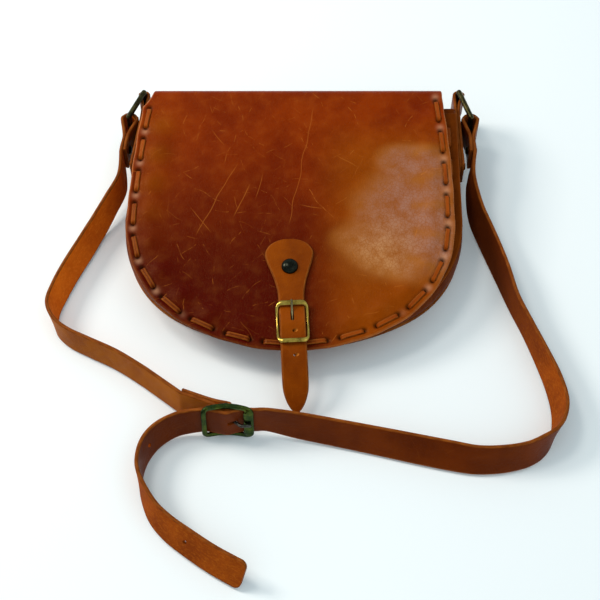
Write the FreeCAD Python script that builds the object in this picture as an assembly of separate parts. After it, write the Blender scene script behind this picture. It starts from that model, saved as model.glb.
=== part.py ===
"""Saddle handbag of thick leather, lying on its back with its strap round it.

Frame: +Z up, the back panel rests on z = 0, +Y points to the bag's top edge,
+X to the right of someone who looks at the flap. Millimetres.
"""
import FreeCAD
import Part
import math
import os

from FreeCAD import Placement, Rotation, Vector

# Leather thicknesses
panel_leather = 3.2
front_leather = 3.0
gusset_leather = 2.5
tab_leather = 2.5
strap_leather = 2.8
billet_leather = 2.6

# Body: a U-shaped back and front panel with a tapering gusset between them
body_half_width = 131.0
body_top = 108.0
body_length = 204.0
body_corner_radius = 88.0
body_bottom_half_angle = 30.0
body_left_lean = 5.5
gusset_drop = 4.0
flange_width = 14.0
front_top_drop = 10.0

# Flap: it runs over the top from the back panel and down the front
bag_depth = 60.0
flap_tilt = 9.0
flap_overhang = 17.0
flap_side_inset = 4.5
flap_corner_radius = 99.0
flap_bottom_half_angle = 28.5
flap_side_radius = 900.0
flap_lean = -1.3
flap_corner_cut = 11.0
flap_corner_run = 9.0
fold_inner_radius = 4.0
fold_left_inset = 18.5
fold_right_inset = 12.0
flap_stand_off = 6.5

# Lacing: one flat thong in punched holes along each edge
thong_width = 4.4
thong_thickness = 1.6
lace_inset = 8.0
flap_lace_inset = 5.8
stitch_length = 17.0
stitch_gap = 12.0
lace_end_margin = 14.0
flap_lace_start = 16.0
flap_lace_end = 4.0
hole_clearance = 0.3
lace_step = 0.25

# Press stud that closes the flap
stud_cap_radius = 6.3
stud_cap_height = 3.6
stud_post_radius = 2.0
post_clearance = 0.1
socket_radius = 6.0
socket_height = 3.6
socket_cavity_radius = 4.6
socket_cavity_depth = 2.6
stud_base_radius = 5.5
stud_base_height = 1.0
stud_ball_radius = 3.0
stud_ball_top_radius = 1.8
stud_ball_height = 1.5
stud_neck_radius = 2.4
stud_neck_height = 2.1

# Closing strap on the flap, with its own small buckle
closure_x = -3.3
closure_rise = 73.0
closure_lean = 2.8
stud_drop = 5.7
billet_width = 19.5
billet_gap = 0.1
billet_hole_radius = 2.0
billet_holes = [7.1, 25.7]
# Billet stations: distance below the closure's reference, width, drop below the flap's face
billet_stations = [
    (-17.3, 10.0, 0.0),
    (-15.8, 20.0, 0.0),
    (-12.5, 30.0, 0.0),
    (-6.3, 36.7, 0.0),
    (1.0, 34.5, 0.0),
    (9.0, 29.0, 0.0),
    (17.0, 24.0, 0.0),
    (25.0, 20.6, 0.0),
    (31.0, billet_width, 0.0),
]
tongue_stations = [
    (76.0, billet_width, -1.4),
    (85.0, billet_width, 0.6),
    (94.0, billet_width, 3.4),
    (102.0, 18.6, 6.8),
    (109.0, 14.6, 9.8),
    (114.0, 9.0, 12.0),
    (117.0, 3.0, 13.3),
]
closure_bar_radius = 1.3
closure_middle_radius = 1.0
closure_bar_spacing = 15.0
closure_buckle_middle = 52.0
closure_rail_width = 1.6
closure_rail_height = 2.6
closure_side_clearance = 0.4
closure_prong_radius = 0.9
closure_prong_width = 3.4
closure_prong_overrun = 1.2
closure_hub_wall = 0.7
closure_slot_start = 0.5
closure_slot_end = 9.8
prong_slot_clearance = 0.4
prong_tip_clearance = 0.25
upper_bar_rise = 0.3
bar_clearance = 0.3
prong_running_clearance = 0.05

# Ring tabs on the gusset, and the rings in them
tab_width = 24.0
tab_bottom = 54.0
tab_loop_y = 127.0
tab_z = 26.0
tab_join_drop = 17.0
tab_rivet_y = 61.0
ring_wire_radius = 2.2
ring_loop_clearance = 0.1
ring_reach = 28.0
ring_lean = 16.5
ring_side_clearance = 0.6
rivet_shank_radius = 2.0
rivet_head_radius = 4.2
rivet_top_radius = 2.3
rivet_head_height = 1.8

# Shoulder strap
strap_width = 24.0
strap_loop_slack = 2.2
strap_layer_gap = 0.2
strap_joint_gap = 0.3
strap_join_drop = 16.0
strap_doubled_length = 32.0
strap_rivet_drop = 23.0
strap_hole_radius = 2.6

# Shoulder-strap buckle: it stands on edge with the strap and leans with it
laid_out_buckle_x = -48.0
buckle_drop = 71.0
buckle_rise = 5.2
buckle_lean = 14.0
buckle_bar_radius = 1.6
buckle_bar_reach = 16.0
buckle_end_rise = 3.0
buckle_middle_drop = 3.5
buckle_wide_bar = 7.0
buckle_wide_bar_thickness = 2.4
buckle_rail_width = 2.8
buckle_rail_height = 2.8
buckle_side_clearance = 0.5
chape_clearance = 0.3
chape_length = 36.0
chape_lead = 6.0
chape_join = 13.0
chape_turn = 24.0
chape_layer_gap = 0.4
chape_slot_width = 5.6
strap_prong_radius = 1.2
strap_prong_width = 4.6
strap_prong_hub_radius = 2.9
strap_prong_overrun = 1.0
strap_slot_start = 0.6
strap_slot_end = 8.8
prong_knee_reach = 10.5
prong_knee_rise = 0.2
chape_slot_margin = 1.0
# Long strap through the buckle: place along it, and 0 for behind its end bars, 1 for over its middle
buckle_crossing = [
    (30.0, 0.0),
    (20.0, 0.0),
    (12.0, 0.0),
    (5.6, 0.5),
    (0.0, 1.0),
    (-7.2, 0.5),
    (-16.0, 0.0),
]

# Strap routes: x, y and height of the lower edge, and how far its top leans to the left of travel.
# They are laid out round a body of this half width and bottom, and move with its sides and bottom.
laid_out_half_width = 131.0
laid_out_bottom = -96.0
# The long strap goes from the right ring round the front to the buckle.
right_fall_route = [
    (140.5, 48.0, 9.0, 8.0),
    (141.0, 22.0, 3.5, 20.0),
    (148.0, -2.0, 0.0, 23.0),
]
right_run_route = [
    (157.5, -32.0, 0.0, 18.0),
    (166.5, -60.0, 0.0, 8.0),
    (175.0, -84.0, 0.0, 7.0),
    (182.5, -110.0, 0.0, 12.0),
    (187.5, -132.0, 0.0, 18.0),
    (189.5, -151.0, 0.0, 20.0),
    (187.5, -168.0, 0.0, 10.0),
    (182.0, -182.0, 0.0, -12.0),
    (170.0, -192.0, 0.0, -22.0),
    (152.0, -197.5, 0.0, -28.0),
    (130.0, -199.0, 0.0, -32.0),
    (108.0, -195.5, 0.0, -36.0),
    (82.0, -189.5, 0.0, -34.0),
    (56.0, -183.0, 0.0, -30.0),
    (30.0, -177.0, 0.4, -27.0),
    (4.0, -171.5, 1.6, -24.0),
]
tail_route = [
    (-76.0, -167.5, 2.6, -16.0),
    (-85.0, -169.5, 1.0, -16.0),
    (-94.0, -175.0, 0.0, -17.0),
    (-101.0, -183.0, 0.0, -15.0),
    (-106.0, -193.0, 0.0, -9.0),
    (-108.0, -204.5, 0.0, -2.0),
    (-106.0, -219.0, 0.0, 9.0),
    (-100.0, -235.0, 0.0, 19.0),
    (-90.0, -248.0, 0.0, 26.0),
    (-77.0, -259.0, 0.0, 30.0),
    (-58.0, -272.5, 0.0, 32.0),
    (-36.6, -285.0, 0.0, 34.0),
]
# The short strap goes from the left ring round to the buckle.
left_fall_route = [
    (-137.0, 48.0, 9.0, -8.0),
    (-144.5, 28.0, 4.5, -13.0),
    (-153.0, 8.0, 0.0, -18.0),
]
left_run_route = [
    (-160.5, -11.0, 0.0, -20.0),
    (-169.5, -32.0, 0.0, -20.0),
    (-176.5, -51.0, 0.0, -19.0),
    (-181.0, -67.0, 0.0, -14.0),
    (-179.0, -82.0, 0.0, 0.0),
    (-169.0, -93.0, 0.0, 6.0),
    (-153.0, -102.0, 0.0, 8.0),
    (-132.0, -113.0, 0.0, 9.0),
    (-111.0, -127.5, 0.2, 10.0),
]
tail_holes = [3, 9]

# Values that follow from the sizes above
body_bottom = body_top - body_length
flap_length = body_length + flap_overhang
flap_half_width = body_half_width - flap_side_inset
fold_left = fold_left_inset - body_half_width
fold_right = body_half_width - fold_right_inset
closure_y = closure_rise - flap_length
buckle_x = laid_out_buckle_x * body_half_width / laid_out_half_width
buckle_y = body_bottom - buckle_drop
fold_outer_radius = fold_inner_radius + panel_leather
back_fold_z = fold_outer_radius
front_fold_z = bag_depth - fold_outer_radius * math.cos(math.radians(flap_tilt))
front_outer_w = fold_inner_radius - flap_stand_off
front_inner_w = front_outer_w - front_leather
lace_hole_radius = math.hypot(thong_width, thong_thickness) / 2 + hole_clearance
X_AXIS = Vector(1, 0, 0)
Y_AXIS = Vector(0, 1, 0)
Z_AXIS = Vector(0, 0, 1)
ORIGIN = Vector(0, 0, 0)
flap_frame = Placement(Vector(0, body_top, front_fold_z), Rotation(X_AXIS, flap_tilt))
leaning_flap = flap_frame.multiply(Placement(ORIGIN, Rotation(Z_AXIS, flap_lean)))
closure_frame = flap_frame.multiply(
    Placement(Vector(closure_x, closure_y, 0), Rotation(Z_AXIS, closure_lean)))
beyond = 4 * body_length
cut_margin = 1.0


def placed(shape, placement):
    """A copy of a shape, moved from a local frame into the bag's frame."""
    copy = shape.copy()
    copy.Placement = placement.multiply(copy.Placement)
    return copy


def fuse(shapes):
    return shapes[0].multiFuse(shapes[1:]).removeSplitter()


def rod(start, end, radius):
    run = end - start
    return Part.makeCylinder(radius, run.Length, start, run)


def block(low, high):
    size = Vector(high) - Vector(low)
    return Part.makeBox(size.x, size.y, size.z, Vector(low))


def arc(start, middle, end):
    return Part.Arc(Vector(*start), Vector(*middle), Vector(*end)).toShape()


def line(start, end):
    return Part.LineSegment(Vector(*start), Vector(*end)).toShape()


def bottom_depth(half_width, corner_radius, half_angle):
    """Depth of a rounded bottom below the widest line, and the radius of its middle arc."""
    turn = math.radians(half_angle)
    radius = (half_width - corner_radius * (1 - math.sin(turn))) / math.sin(turn)
    return radius * (1 - math.cos(turn)) + corner_radius * math.cos(turn), radius


def rounded_edges(half_width, corner_radius, half_angle, widest_y, top_y, side_radius, left_lean):
    """Edges down the left side, round the bottom and up the right side.

    The sides are arcs if a radius is given, and otherwise straight, the left one leaning in.
    """
    depth, radius = bottom_depth(half_width, corner_radius, half_angle)
    turn = math.radians(half_angle)
    corner_x = half_width - corner_radius
    bottom_y = widest_y - depth
    join = (corner_x + corner_radius * math.sin(turn), widest_y - corner_radius * math.cos(turn))
    half_turn = math.radians((90 + half_angle) / 2)
    mid = (corner_x + corner_radius * math.sin(half_turn),
           widest_y - corner_radius * math.cos(half_turn))
    rise = top_y - widest_y
    if side_radius:
        top_x = half_width - side_radius + math.sqrt(side_radius ** 2 - rise ** 2)
        mid_x = half_width - side_radius + math.sqrt(side_radius ** 2 - (rise / 2) ** 2)
        left = arc((-top_x, top_y), (-mid_x, widest_y + rise / 2), (-half_width, widest_y))
        right = arc((half_width, widest_y), (mid_x, widest_y + rise / 2), (top_x, top_y))
    else:
        left_x = rise * math.tan(math.radians(left_lean)) - half_width
        left = line((left_x, top_y), (-half_width, widest_y))
        right = line((half_width, widest_y), (half_width, top_y))
    return [
        left,
        arc((-half_width, widest_y), (-mid[0], mid[1]), (-join[0], join[1])),
        arc((-join[0], join[1]), (0, bottom_y), join),
        arc(join, mid, (half_width, widest_y)),
        right,
    ]


def body_widest_y():
    depth, _ = bottom_depth(body_half_width, body_corner_radius, body_bottom_half_angle)
    return body_bottom + depth


def body_edges(inset, top_y):
    return rounded_edges(body_half_width - inset, body_corner_radius - inset,
                         body_bottom_half_angle, body_widest_y(), top_y, None, body_left_lean)


def flap_edges(inset, top_y):
    depth, _ = bottom_depth(flap_half_width, flap_corner_radius, flap_bottom_half_angle)
    return rounded_edges(flap_half_width - inset, flap_corner_radius - inset,
                         flap_bottom_half_angle, depth - flap_length, top_y,
                         flap_side_radius - inset, 0)


def prism(edges, low, high):
    """Solid between two heights whose outline is closed by a straight top edge."""
    start = edges[0].Vertexes[0].Point
    end = edges[-1].Vertexes[-1].Point
    face = Part.Face(Part.Wire(edges + [line(end, start)]))
    face.translate(Vector(0, 0, low))
    return face.extrude(Vector(0, 0, high - low))


def tilted_slab(low_w, high_w):
    """Wide plate parallel to the flap, between two heights in the flap's frame."""
    plate = block((-beyond, -beyond, low_w), (beyond, beyond, high_w))
    return placed(plate, flap_frame)


def lace_points(edges, start_margin, end_margin):
    """Hole centres along an open edge path, in pairs, one pair to a stitch."""
    wire = Part.Wire(edges)
    room = wire.Length - start_margin - end_margin
    count = round((room + stitch_gap) / (stitch_length + stitch_gap))
    scale = room / (count * stitch_length + (count - 1) * stitch_gap)
    steps = int(wire.Length / lace_step)
    fine = wire.discretize(Number=steps + 1)
    points = []
    for stitch in range(count):
        start = start_margin + stitch * (stitch_length + stitch_gap) * scale
        for place in (start, start + stitch_length * scale):
            points.append(fine[round(place / wire.Length * steps)])
    return points


def thong_piece(start, run, length, low, high, width):
    """Flat piece of thong along a direction, half its thickness past each end."""
    overrun = thong_thickness / 2
    bar = block((-overrun, -width / 2, low), (length + overrun, width / 2, high))
    turn = math.degrees(math.atan2(run.y, run.x))
    return placed(bar, Placement(Vector(start.x, start.y, 0), Rotation(Z_AXIS, turn)))


def thong_bar(start, end, low, high, width):
    """Flat length of thong from one hole to the next."""
    run = end - start
    return thong_piece(start, run, run.Length, low, high, width)


def lace(points, outer_low, outer_high, inner_low, inner_high):
    """One thong: outer stitches, legs through the holes, and inner stitches between them."""
    low = min(outer_low, inner_low)
    high = max(outer_high, inner_high)
    pieces = []
    for index in range(0, len(points), 2):
        start, end = points[index], points[index + 1]
        pieces.append(thong_bar(start, end, outer_low, outer_high, thong_width))
        for hole in (start, end):
            pieces.append(thong_piece(hole, end - start, 0, low, high, thong_width))
        if index + 2 < len(points):
            pieces.append(thong_bar(end, points[index + 2], inner_low, inner_high, thong_width))
    return fuse(pieces)


def lace_holes(points, low, high):
    return Part.makeCompound([
        Part.makeCylinder(lace_hole_radius, high - low, Vector(point.x, point.y, low))
        for point in points])


def smooth(stations):
    """Stations with one more between each two, on a smooth curve through them."""
    result = []
    last = len(stations) - 1
    for index in range(last):
        before = stations[max(index - 1, 0)]
        here = stations[index]
        there = stations[index + 1]
        after = stations[min(index + 2, last)]
        result.append(here)
        result.append(tuple((9 * (b + c) - a - d) / 16
                            for a, b, c, d in zip(before, here, there, after)))
    result.append(stations[last])
    return result


def with_thickness(centres):
    """Sections with the direction through the leather added to centre, across and width."""
    last = len(centres) - 1
    sections = []
    for index, (centre, across, width) in enumerate(centres):
        ahead = centres[min(index + 1, last)][0] - centres[max(index - 1, 0)][0]
        sections.append((centre, across, width, ahead.cross(across).normalize()))
    return sections


def band(sections, thickness):
    """Leather band through sections, each a centre, a direction across, a width and a normal."""
    wires = []
    for centre, across, width, normal in sections:
        through = normal * (thickness / 2)
        half = across * (width / 2)
        corners = [centre - half - through, centre + half - through,
                   centre + half + through, centre - half + through]
        wires.append(Part.makePolygon(corners + corners[:1]))
    return Part.makeLoft(wires, True, True)


def moved_with_body(station):
    """Route station, moved with the body's side and bottom in proportion to how near it is to them."""
    x, y, height, lean = station
    side_share = max(-1, min(1, x / laid_out_half_width))
    bottom_share = max(0, min(1, y / laid_out_bottom))
    return (x + side_share * (body_half_width - laid_out_half_width),
            y + bottom_share * (body_bottom - laid_out_bottom), height, lean)


def strap_centres(route):
    """Centres and directions of a strap that stands on its lower edge and leans as the route says."""
    stations = smooth(route)
    last = len(stations) - 1
    sections = []
    for index, (x, y, height, lean) in enumerate(stations):
        before = stations[max(index - 1, 0)]
        after = stations[min(index + 1, last)]
        left = Vector(before[1] - after[1], after[0] - before[0], 0).normalize()
        turn = math.radians(lean)
        across = Z_AXIS * math.cos(turn) + left * math.sin(turn)
        foot = max(height, 0) + strap_leather / 2 * abs(math.sin(turn))
        centre = Vector(x, y, foot) + across * (strap_width / 2)
        sections.append((centre, across, strap_width))
    return sections


def bend(fold_z, start_angle, sweep):
    """Curved stretch of leather round a fold line along X, its angle counted up from straight down."""
    width = fold_right - fold_left
    outer = Part.makeCylinder(fold_outer_radius, width, ORIGIN, Z_AXIS, sweep)
    inner = Part.makeCylinder(fold_inner_radius, width, ORIGIN, Z_AXIS, sweep)
    sector = outer.cut(inner)
    sector.rotate(ORIGIN, Y_AXIS, 90)
    sector.rotate(ORIGIN, X_AXIS, start_angle)
    sector.translate(Vector(fold_left, body_top, fold_z))
    return sector


def build_panels(shapes):
    """Back panel, gusset, front panel and the thongs that lace them together."""
    gusset_top = body_top - gusset_drop
    edges = body_edges(lace_inset, body_top - front_top_drop)
    points = lace_points(edges, lace_end_margin, lace_end_margin)
    flange_top = panel_leather + gusset_leather
    groove_width = thong_width + 2 * hole_clearance
    back = prism(body_edges(0, body_top), 0, panel_leather)
    back = back.cut(lace_holes(points, -cut_margin, panel_leather + cut_margin))
    grooves = [thong_bar(points[i], points[i + 1], -cut_margin, thong_thickness + hole_clearance,
                         groove_width)
               for i in range(0, len(points), 2)]
    shapes["back_panel"] = back.cut(Part.makeCompound(grooves))
    shapes["back_lacing"] = lace(points, 0, thong_thickness,
                                 flange_top, flange_top + thong_thickness)

    shell = prism(body_edges(0, gusset_top), panel_leather, bag_depth)
    cut_top = gusset_top + cut_margin
    hollow = prism(body_edges(gusset_leather, cut_top), 0, bag_depth + cut_margin)
    inside = prism(body_edges(flange_width, cut_top), 0, bag_depth + cut_margin)
    under_front = tilted_slab(-beyond, front_inner_w)
    front_skin = tilted_slab(front_inner_w - gusset_leather, front_inner_w)
    back_skin = block((-beyond, -beyond, panel_leather), (beyond, beyond, flange_top))
    wall = shell.cut(hollow).common(under_front)
    ring = shell.cut(inside)
    gusset = fuse([wall, ring.common(back_skin), ring.common(front_skin)])
    front_points = [flap_plane_point(point, front_inner_w) for point in points]
    front_holes = placed(lace_holes(front_points, front_inner_w - 2 * gusset_leather,
                                    front_outer_w + cut_margin), flap_frame)
    gusset = gusset.cut(lace_holes(points, 0, flange_top + cut_margin))
    shapes["gusset"] = gusset.cut(front_holes)

    front = prism(body_edges(0, body_top - front_top_drop), 0, bag_depth)
    front = front.common(tilted_slab(front_inner_w, front_outer_w)).cut(front_holes)
    shapes["front_panel"] = front.cut(stud_bore(front_inner_w - cut_margin, front_outer_w + cut_margin))
    thong = lace(front_points, front_outer_w, front_outer_w + thong_thickness,
                 front_inner_w - gusset_leather - thong_thickness, front_inner_w - gusset_leather)
    shapes["front_lacing"] = placed(thong, flap_frame)


def flap_plane_point(point, height):
    """Point of the flap's frame, at a height there, that lies over a point of the floor."""
    tilt = math.radians(flap_tilt)
    along = (point.y - body_top + height * math.sin(tilt)) / math.cos(tilt)
    return Vector(point.x, along, 0)


def stud_bore(low, high):
    bore = Part.makeCylinder(stud_post_radius + post_clearance, high - low,
                             Vector(0, -stud_drop, low))
    return placed(bore, closure_frame)


def build_flap(shapes):
    """The leather that goes over the top and down the front, with its edge lacing."""
    shapes["back_fold"] = bend(back_fold_z, 0, 90)
    shapes["front_fold"] = bend(front_fold_z, 90, 90 + flap_tilt)
    shapes["flap_bridge"] = block(
        (fold_left, body_top + fold_inner_radius, back_fold_z),
        (fold_right, body_top + fold_outer_radius, front_fold_z))

    points = lace_points(flap_edges(flap_lace_inset, 0), flap_lace_start, flap_lace_end)
    panel = prism(flap_edges(0, flap_corner_cut), fold_inner_radius, fold_outer_radius)
    panel = panel.cut(lace_holes(points, fold_inner_radius - cut_margin, fold_outer_radius + cut_margin))
    corner = Part.Face(Part.makePolygon([
        Vector(-beyond, -flap_corner_cut, 0),
        Vector(fold_left - flap_corner_run, -flap_corner_cut, 0), Vector(fold_left, 0, 0),
        Vector(fold_left, beyond, 0), Vector(-beyond, beyond, 0),
        Vector(-beyond, -flap_corner_cut, 0)]))
    panel = placed(panel, Placement(ORIGIN, Rotation(Z_AXIS, flap_lean)))
    panel = panel.common(block((-beyond, -beyond, 0), (beyond, 0, beyond)))
    panel = panel.cut(corner.extrude(Vector(0, 0, beyond)))
    right_edge = block((fold_right, -flap_corner_cut, 0), (beyond, beyond, beyond))
    panel = placed(panel.cut(right_edge), flap_frame)
    shapes["flap_panel"] = panel.cut(stud_bore(0, bag_depth))
    thong = lace(points, fold_outer_radius, fold_outer_radius + thong_thickness,
                 fold_inner_radius - thong_thickness, fold_inner_radius)
    shapes["flap_lacing"] = placed(thong, leaning_flap)


def build_press_stud(shapes):
    """Cap and socket on the flap, stud and its back plate on the front panel."""
    axis = Vector(0, -stud_drop, 0)
    billet_top = fold_outer_radius + billet_gap + billet_leather
    ball = Part.makeSphere(stud_cap_radius, axis, Z_AXIS, 0, 90, 360)
    squash = FreeCAD.Matrix()
    squash.scale(1, 1, stud_cap_height / stud_cap_radius)
    dome = ball.transformGeometry(squash)
    dome.translate(Vector(0, 0, billet_top))
    post = Part.makeCylinder(stud_post_radius, billet_top - fold_inner_radius,
                             axis + Z_AXIS * fold_inner_radius)
    shapes["stud_cap"] = placed(fuse([dome, post]), closure_frame)

    socket_low = fold_inner_radius - socket_height
    socket = Part.makeCylinder(socket_radius, socket_height, axis + Z_AXIS * socket_low)
    cavity = Part.makeCylinder(socket_cavity_radius, socket_cavity_depth, axis + Z_AXIS * socket_low)
    shapes["stud_socket"] = placed(socket.cut(cavity), closure_frame)

    base = Part.makeCylinder(stud_base_radius, stud_base_height, axis + Z_AXIS * front_outer_w)
    neck_z = front_outer_w + stud_base_height
    neck = Part.makeCylinder(stud_neck_radius, stud_neck_height, axis + Z_AXIS * neck_z)
    head = Part.makeCone(stud_ball_radius, stud_ball_top_radius, stud_ball_height,
                         axis + Z_AXIS * (neck_z + stud_neck_height))
    shank = Part.makeCylinder(stud_post_radius, front_leather, axis + Z_AXIS * front_inner_w)
    shapes["stud_post"] = placed(fuse([base, neck, head, shank]), closure_frame)
    plate = Part.makeCylinder(stud_base_radius, stud_base_height,
                              axis + Z_AXIS * (front_inner_w - stud_base_height))
    shapes["stud_back_plate"] = placed(plate, closure_frame)


def build_closure(shapes):
    """Pear-topped closing strap, threaded through a small buckle on the flap."""
    bore = closure_middle_radius + prong_running_clearance
    hub_radius = bore + closure_hub_wall
    rest = fold_outer_radius + billet_gap + billet_leather / 2
    bar_low = fold_outer_radius + billet_gap + hub_radius
    rise = 2 * hub_radius + bar_clearance
    lace_rise = thong_thickness + bar_clearance
    end_bar = rest + billet_leather / 2 + bar_clearance + closure_bar_radius + upper_bar_rise
    low_end_bar = end_bar + lace_rise - upper_bar_rise
    middle = closure_buckle_middle
    threaded = [
        (middle - closure_bar_spacing, billet_width, -upper_bar_rise),
        (middle - closure_bar_spacing / 2, billet_width, -(rise + upper_bar_rise) / 2),
        (middle, billet_width, -rise),
        (middle + closure_bar_spacing / 2, billet_width, -(rise + lace_rise) / 2),
        (middle + closure_bar_spacing, billet_width, -lace_rise),
    ]
    centres = [(Vector(0, -down, rest - drop), X_AXIS, width)
               for down, width, drop in smooth(billet_stations + threaded + tongue_stations)]
    billet = band(with_thickness(centres), billet_leather)
    billet = billet.cut(Part.makeCylinder(stud_post_radius + post_clearance, bag_depth,
                                          Vector(0, -stud_drop, 0)))
    slot = pulled_hole(closure_slot_start, closure_slot_end,
                       closure_prong_radius + prong_slot_clearance, 0, bag_depth)
    slot.rotate(ORIGIN, Z_AXIS, 90)
    slot.translate(Vector(0, -middle, 0))
    billet = billet.cut(slot)
    for down in billet_holes:
        hole = Vector(0, -middle - down, 0)
        billet = billet.cut(Part.makeCylinder(billet_hole_radius, bag_depth, hole))
    shapes["closing_strap"] = placed(billet, closure_frame)

    inner = billet_width / 2 + closure_side_clearance
    outer = inner + closure_rail_width
    reach = closure_bar_spacing + closure_bar_radius
    half_rail = closure_rail_height / 2
    arch = [(reach, end_bar), (0, bar_low), (-reach, low_end_bar)]
    profile = [Vector(0, y - middle, z + half_rail) for y, z in arch]
    profile += [Vector(0, y - middle, z - half_rail) for y, z in reversed(arch)]
    rail = Part.Face(Part.makePolygon(profile + profile[:1])).extrude(X_AXIS * closure_rail_width)
    pieces = []
    for x in (inner, -outer):
        side_rail = rail.copy()
        side_rail.translate(Vector(x, 0, 0))
        pieces.append(side_rail)
    bars = ((closure_bar_spacing, end_bar, closure_bar_radius), (0, bar_low, closure_middle_radius),
            (-closure_bar_spacing, low_end_bar, closure_bar_radius))
    for y, z, radius in bars:
        pieces.append(rod(Vector(-outer, y - middle, z), Vector(outer, y - middle, z), radius))
    shapes["closure_buckle"] = placed(fuse(pieces), closure_frame)

    half = closure_prong_width / 2
    pivot = Vector(0, -middle, bar_low)
    hub = rod(pivot - X_AXIS * half, pivot + X_AXIS * half, hub_radius)
    over = end_bar + closure_bar_radius + closure_prong_radius + prong_tip_clearance
    overrun = 1 + closure_prong_overrun / closure_bar_spacing
    tip = pivot + Vector(0, closure_bar_spacing, over - bar_low) * overrun
    arm = fuse([rod(pivot, tip, closure_prong_radius), Part.makeSphere(closure_prong_radius, tip), hub])
    eye = rod(pivot - X_AXIS * outer, pivot + X_AXIS * outer, bore)
    shapes["closure_prong"] = placed(arm.cut(eye), closure_frame)


def side_frame(side):
    """Placement of what is on a side of the body: the left one leans in above the widest line."""
    lean = -body_left_lean if side < 0 else 0
    hinge = Vector(side * body_half_width, body_widest_y(), 0)
    return Placement(hinge, Rotation(Z_AXIS, lean)).multiply(Placement(hinge * -1, Rotation()))


def ring_centre(side):
    """Where a ring's bar lies in its tab, before the side leans, for the side given as 1 or -1."""
    loop_radius = ring_wire_radius + ring_loop_clearance + tab_leather
    return Vector(side * (body_half_width + loop_radius), tab_loop_y, tab_z)


def ring_outer_bar(side):
    lean = math.radians(ring_lean)
    return ring_centre(side) + Vector(side * math.sin(lean), -math.cos(lean), 0) * ring_reach


def slab(points, low, high):
    """Upright plate whose plan is a polygon."""
    corners = [Vector(x, y, low) for x, y in points]
    return Part.Face(Part.makePolygon(corners + corners[:1])).extrude(Vector(0, 0, high - low))


def half_tube(centre, inner, outer, low, high):
    """Upper half of an upright tube, as leather that goes round a bar."""
    height = high - low
    base = Vector(centre.x, centre.y, low)
    tube = Part.makeCylinder(outer, height, base).cut(Part.makeCylinder(inner, height, base))
    return tube.common(block((centre.x - beyond, centre.y, low), (centre.x + beyond, beyond, high)))


def rivet(start, end):
    """Shank with a domed head at each end."""
    direction = (end - start).normalize()
    pieces = [rod(start, end, rivet_shank_radius)]
    for place, way in ((start, direction * -1), (end, direction)):
        pieces.append(Part.makeCone(rivet_head_radius, rivet_top_radius, rivet_head_height, place, way))
    return fuse(pieces)


def build_rings(shapes):
    """Folded tab, ring and rivet on each side of the gusset."""
    low = tab_z - tab_width / 2
    high = tab_z + tab_width / 2
    rivets = []
    for side, name in ((-1, "left"), (1, "right")):
        centre = ring_centre(side)
        inner = ring_wire_radius + ring_loop_clearance
        outer = inner + tab_leather
        wall_x = side * body_half_width
        join_y = tab_loop_y - tab_join_drop
        between = wall_x + side * tab_leather
        outside = between + side * tab_leather
        wide = centre.x + side * outer
        narrow = centre.x + side * inner
        tab = fuse([
            slab([(wall_x, tab_bottom), (wall_x, tab_loop_y), (between, tab_loop_y),
                  (between, tab_bottom)], low, high),
            slab([(between, tab_bottom), (between, join_y), (narrow, tab_loop_y),
                  (wide, tab_loop_y), (outside, join_y), (outside, tab_bottom)], low, high),
            half_tube(centre, inner, outer, low, high),
        ])
        head = Vector(outside, tab_rivet_y, tab_z)
        tail = Vector(wall_x - side * gusset_leather, tab_rivet_y, tab_z)
        shank = rod(tail, head, rivet_shank_radius)
        rivets.append(placed(rivet(tail, head), side_frame(side)))
        shapes[name + "_ring_tab"] = placed(tab.cut(shank), side_frame(side))
        shapes["gusset"] = shapes["gusset"].cut(placed(shank, side_frame(side)))

        bar = ring_outer_bar(side)
        half = Z_AXIS * (strap_width / 2 + ring_side_clearance + ring_wire_radius)
        corners = [centre - half, centre + half, bar + half, bar - half]
        wire = []
        for index, corner in enumerate(corners):
            wire.append(rod(corner, corners[index - 1], ring_wire_radius))
            wire.append(Part.makeSphere(ring_wire_radius, corner))
        shapes[name + "_ring"] = placed(fuse(wire), side_frame(side))
    shapes["tab_rivets"] = Part.makeCompound(rivets)


def build_strap_ends(shapes):
    """Strap ends looped round the rings and riveted back on themselves."""
    low = tab_z - strap_width / 2
    high = tab_z + strap_width / 2
    inner = ring_wire_radius + strap_loop_slack
    outer = inner + strap_leather
    near = strap_layer_gap / 2
    far = near + strap_leather
    rivets = []
    for side, name in ((-1, "left"), (1, "right")):
        bar = ring_outer_bar(side)
        join_y = bar.y - strap_join_drop
        end_y = bar.y - strap_doubled_length
        pieces = [half_tube(bar, inner, outer, low, high)]
        for way in (1, -1):
            pieces.append(slab([(bar.x + way * inner, bar.y), (bar.x + way * outer, bar.y),
                                (bar.x + way * far, join_y), (bar.x + way * far, end_y),
                                (bar.x + way * near, end_y), (bar.x + way * near, join_y)],
                               low, high))
        rivet_y = bar.y - strap_rivet_drop
        start = Vector(bar.x - far, rivet_y, tab_z)
        end = Vector(bar.x + far, rivet_y, tab_z)
        rivets.append(placed(rivet(start, end), side_frame(side)))
        doubled = fuse(pieces).cut(rod(start, end, rivet_shank_radius))
        shapes[name + "_strap_end"] = placed(doubled, side_frame(side))
    shapes["strap_rivets"] = Part.makeCompound(rivets)


def fall_start(side):
    """First station of the strap below its doubled end, with the lower edge at tab height."""
    bar = ring_outer_bar(side)
    layer = strap_layer_gap / 2 + strap_leather / 2
    end_y = bar.y - strap_doubled_length - strap_joint_gap
    place = side_frame(side).multVec(Vector(bar.x + side * layer, end_y, tab_z - strap_width / 2))
    return (place.x, place.y, place.z, 0.0)


def buckle_frame():
    """Placement of the strap buckle: x along the strap, y up its width, z out of its face."""
    turn = math.radians(buckle_lean)
    up = Vector(0, math.sin(turn), math.cos(turn))
    foot = Vector(buckle_x, buckle_y, buckle_rise)
    return Placement(foot + up * (strap_width / 2), Rotation(X_AXIS, 90 - buckle_lean))


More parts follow.
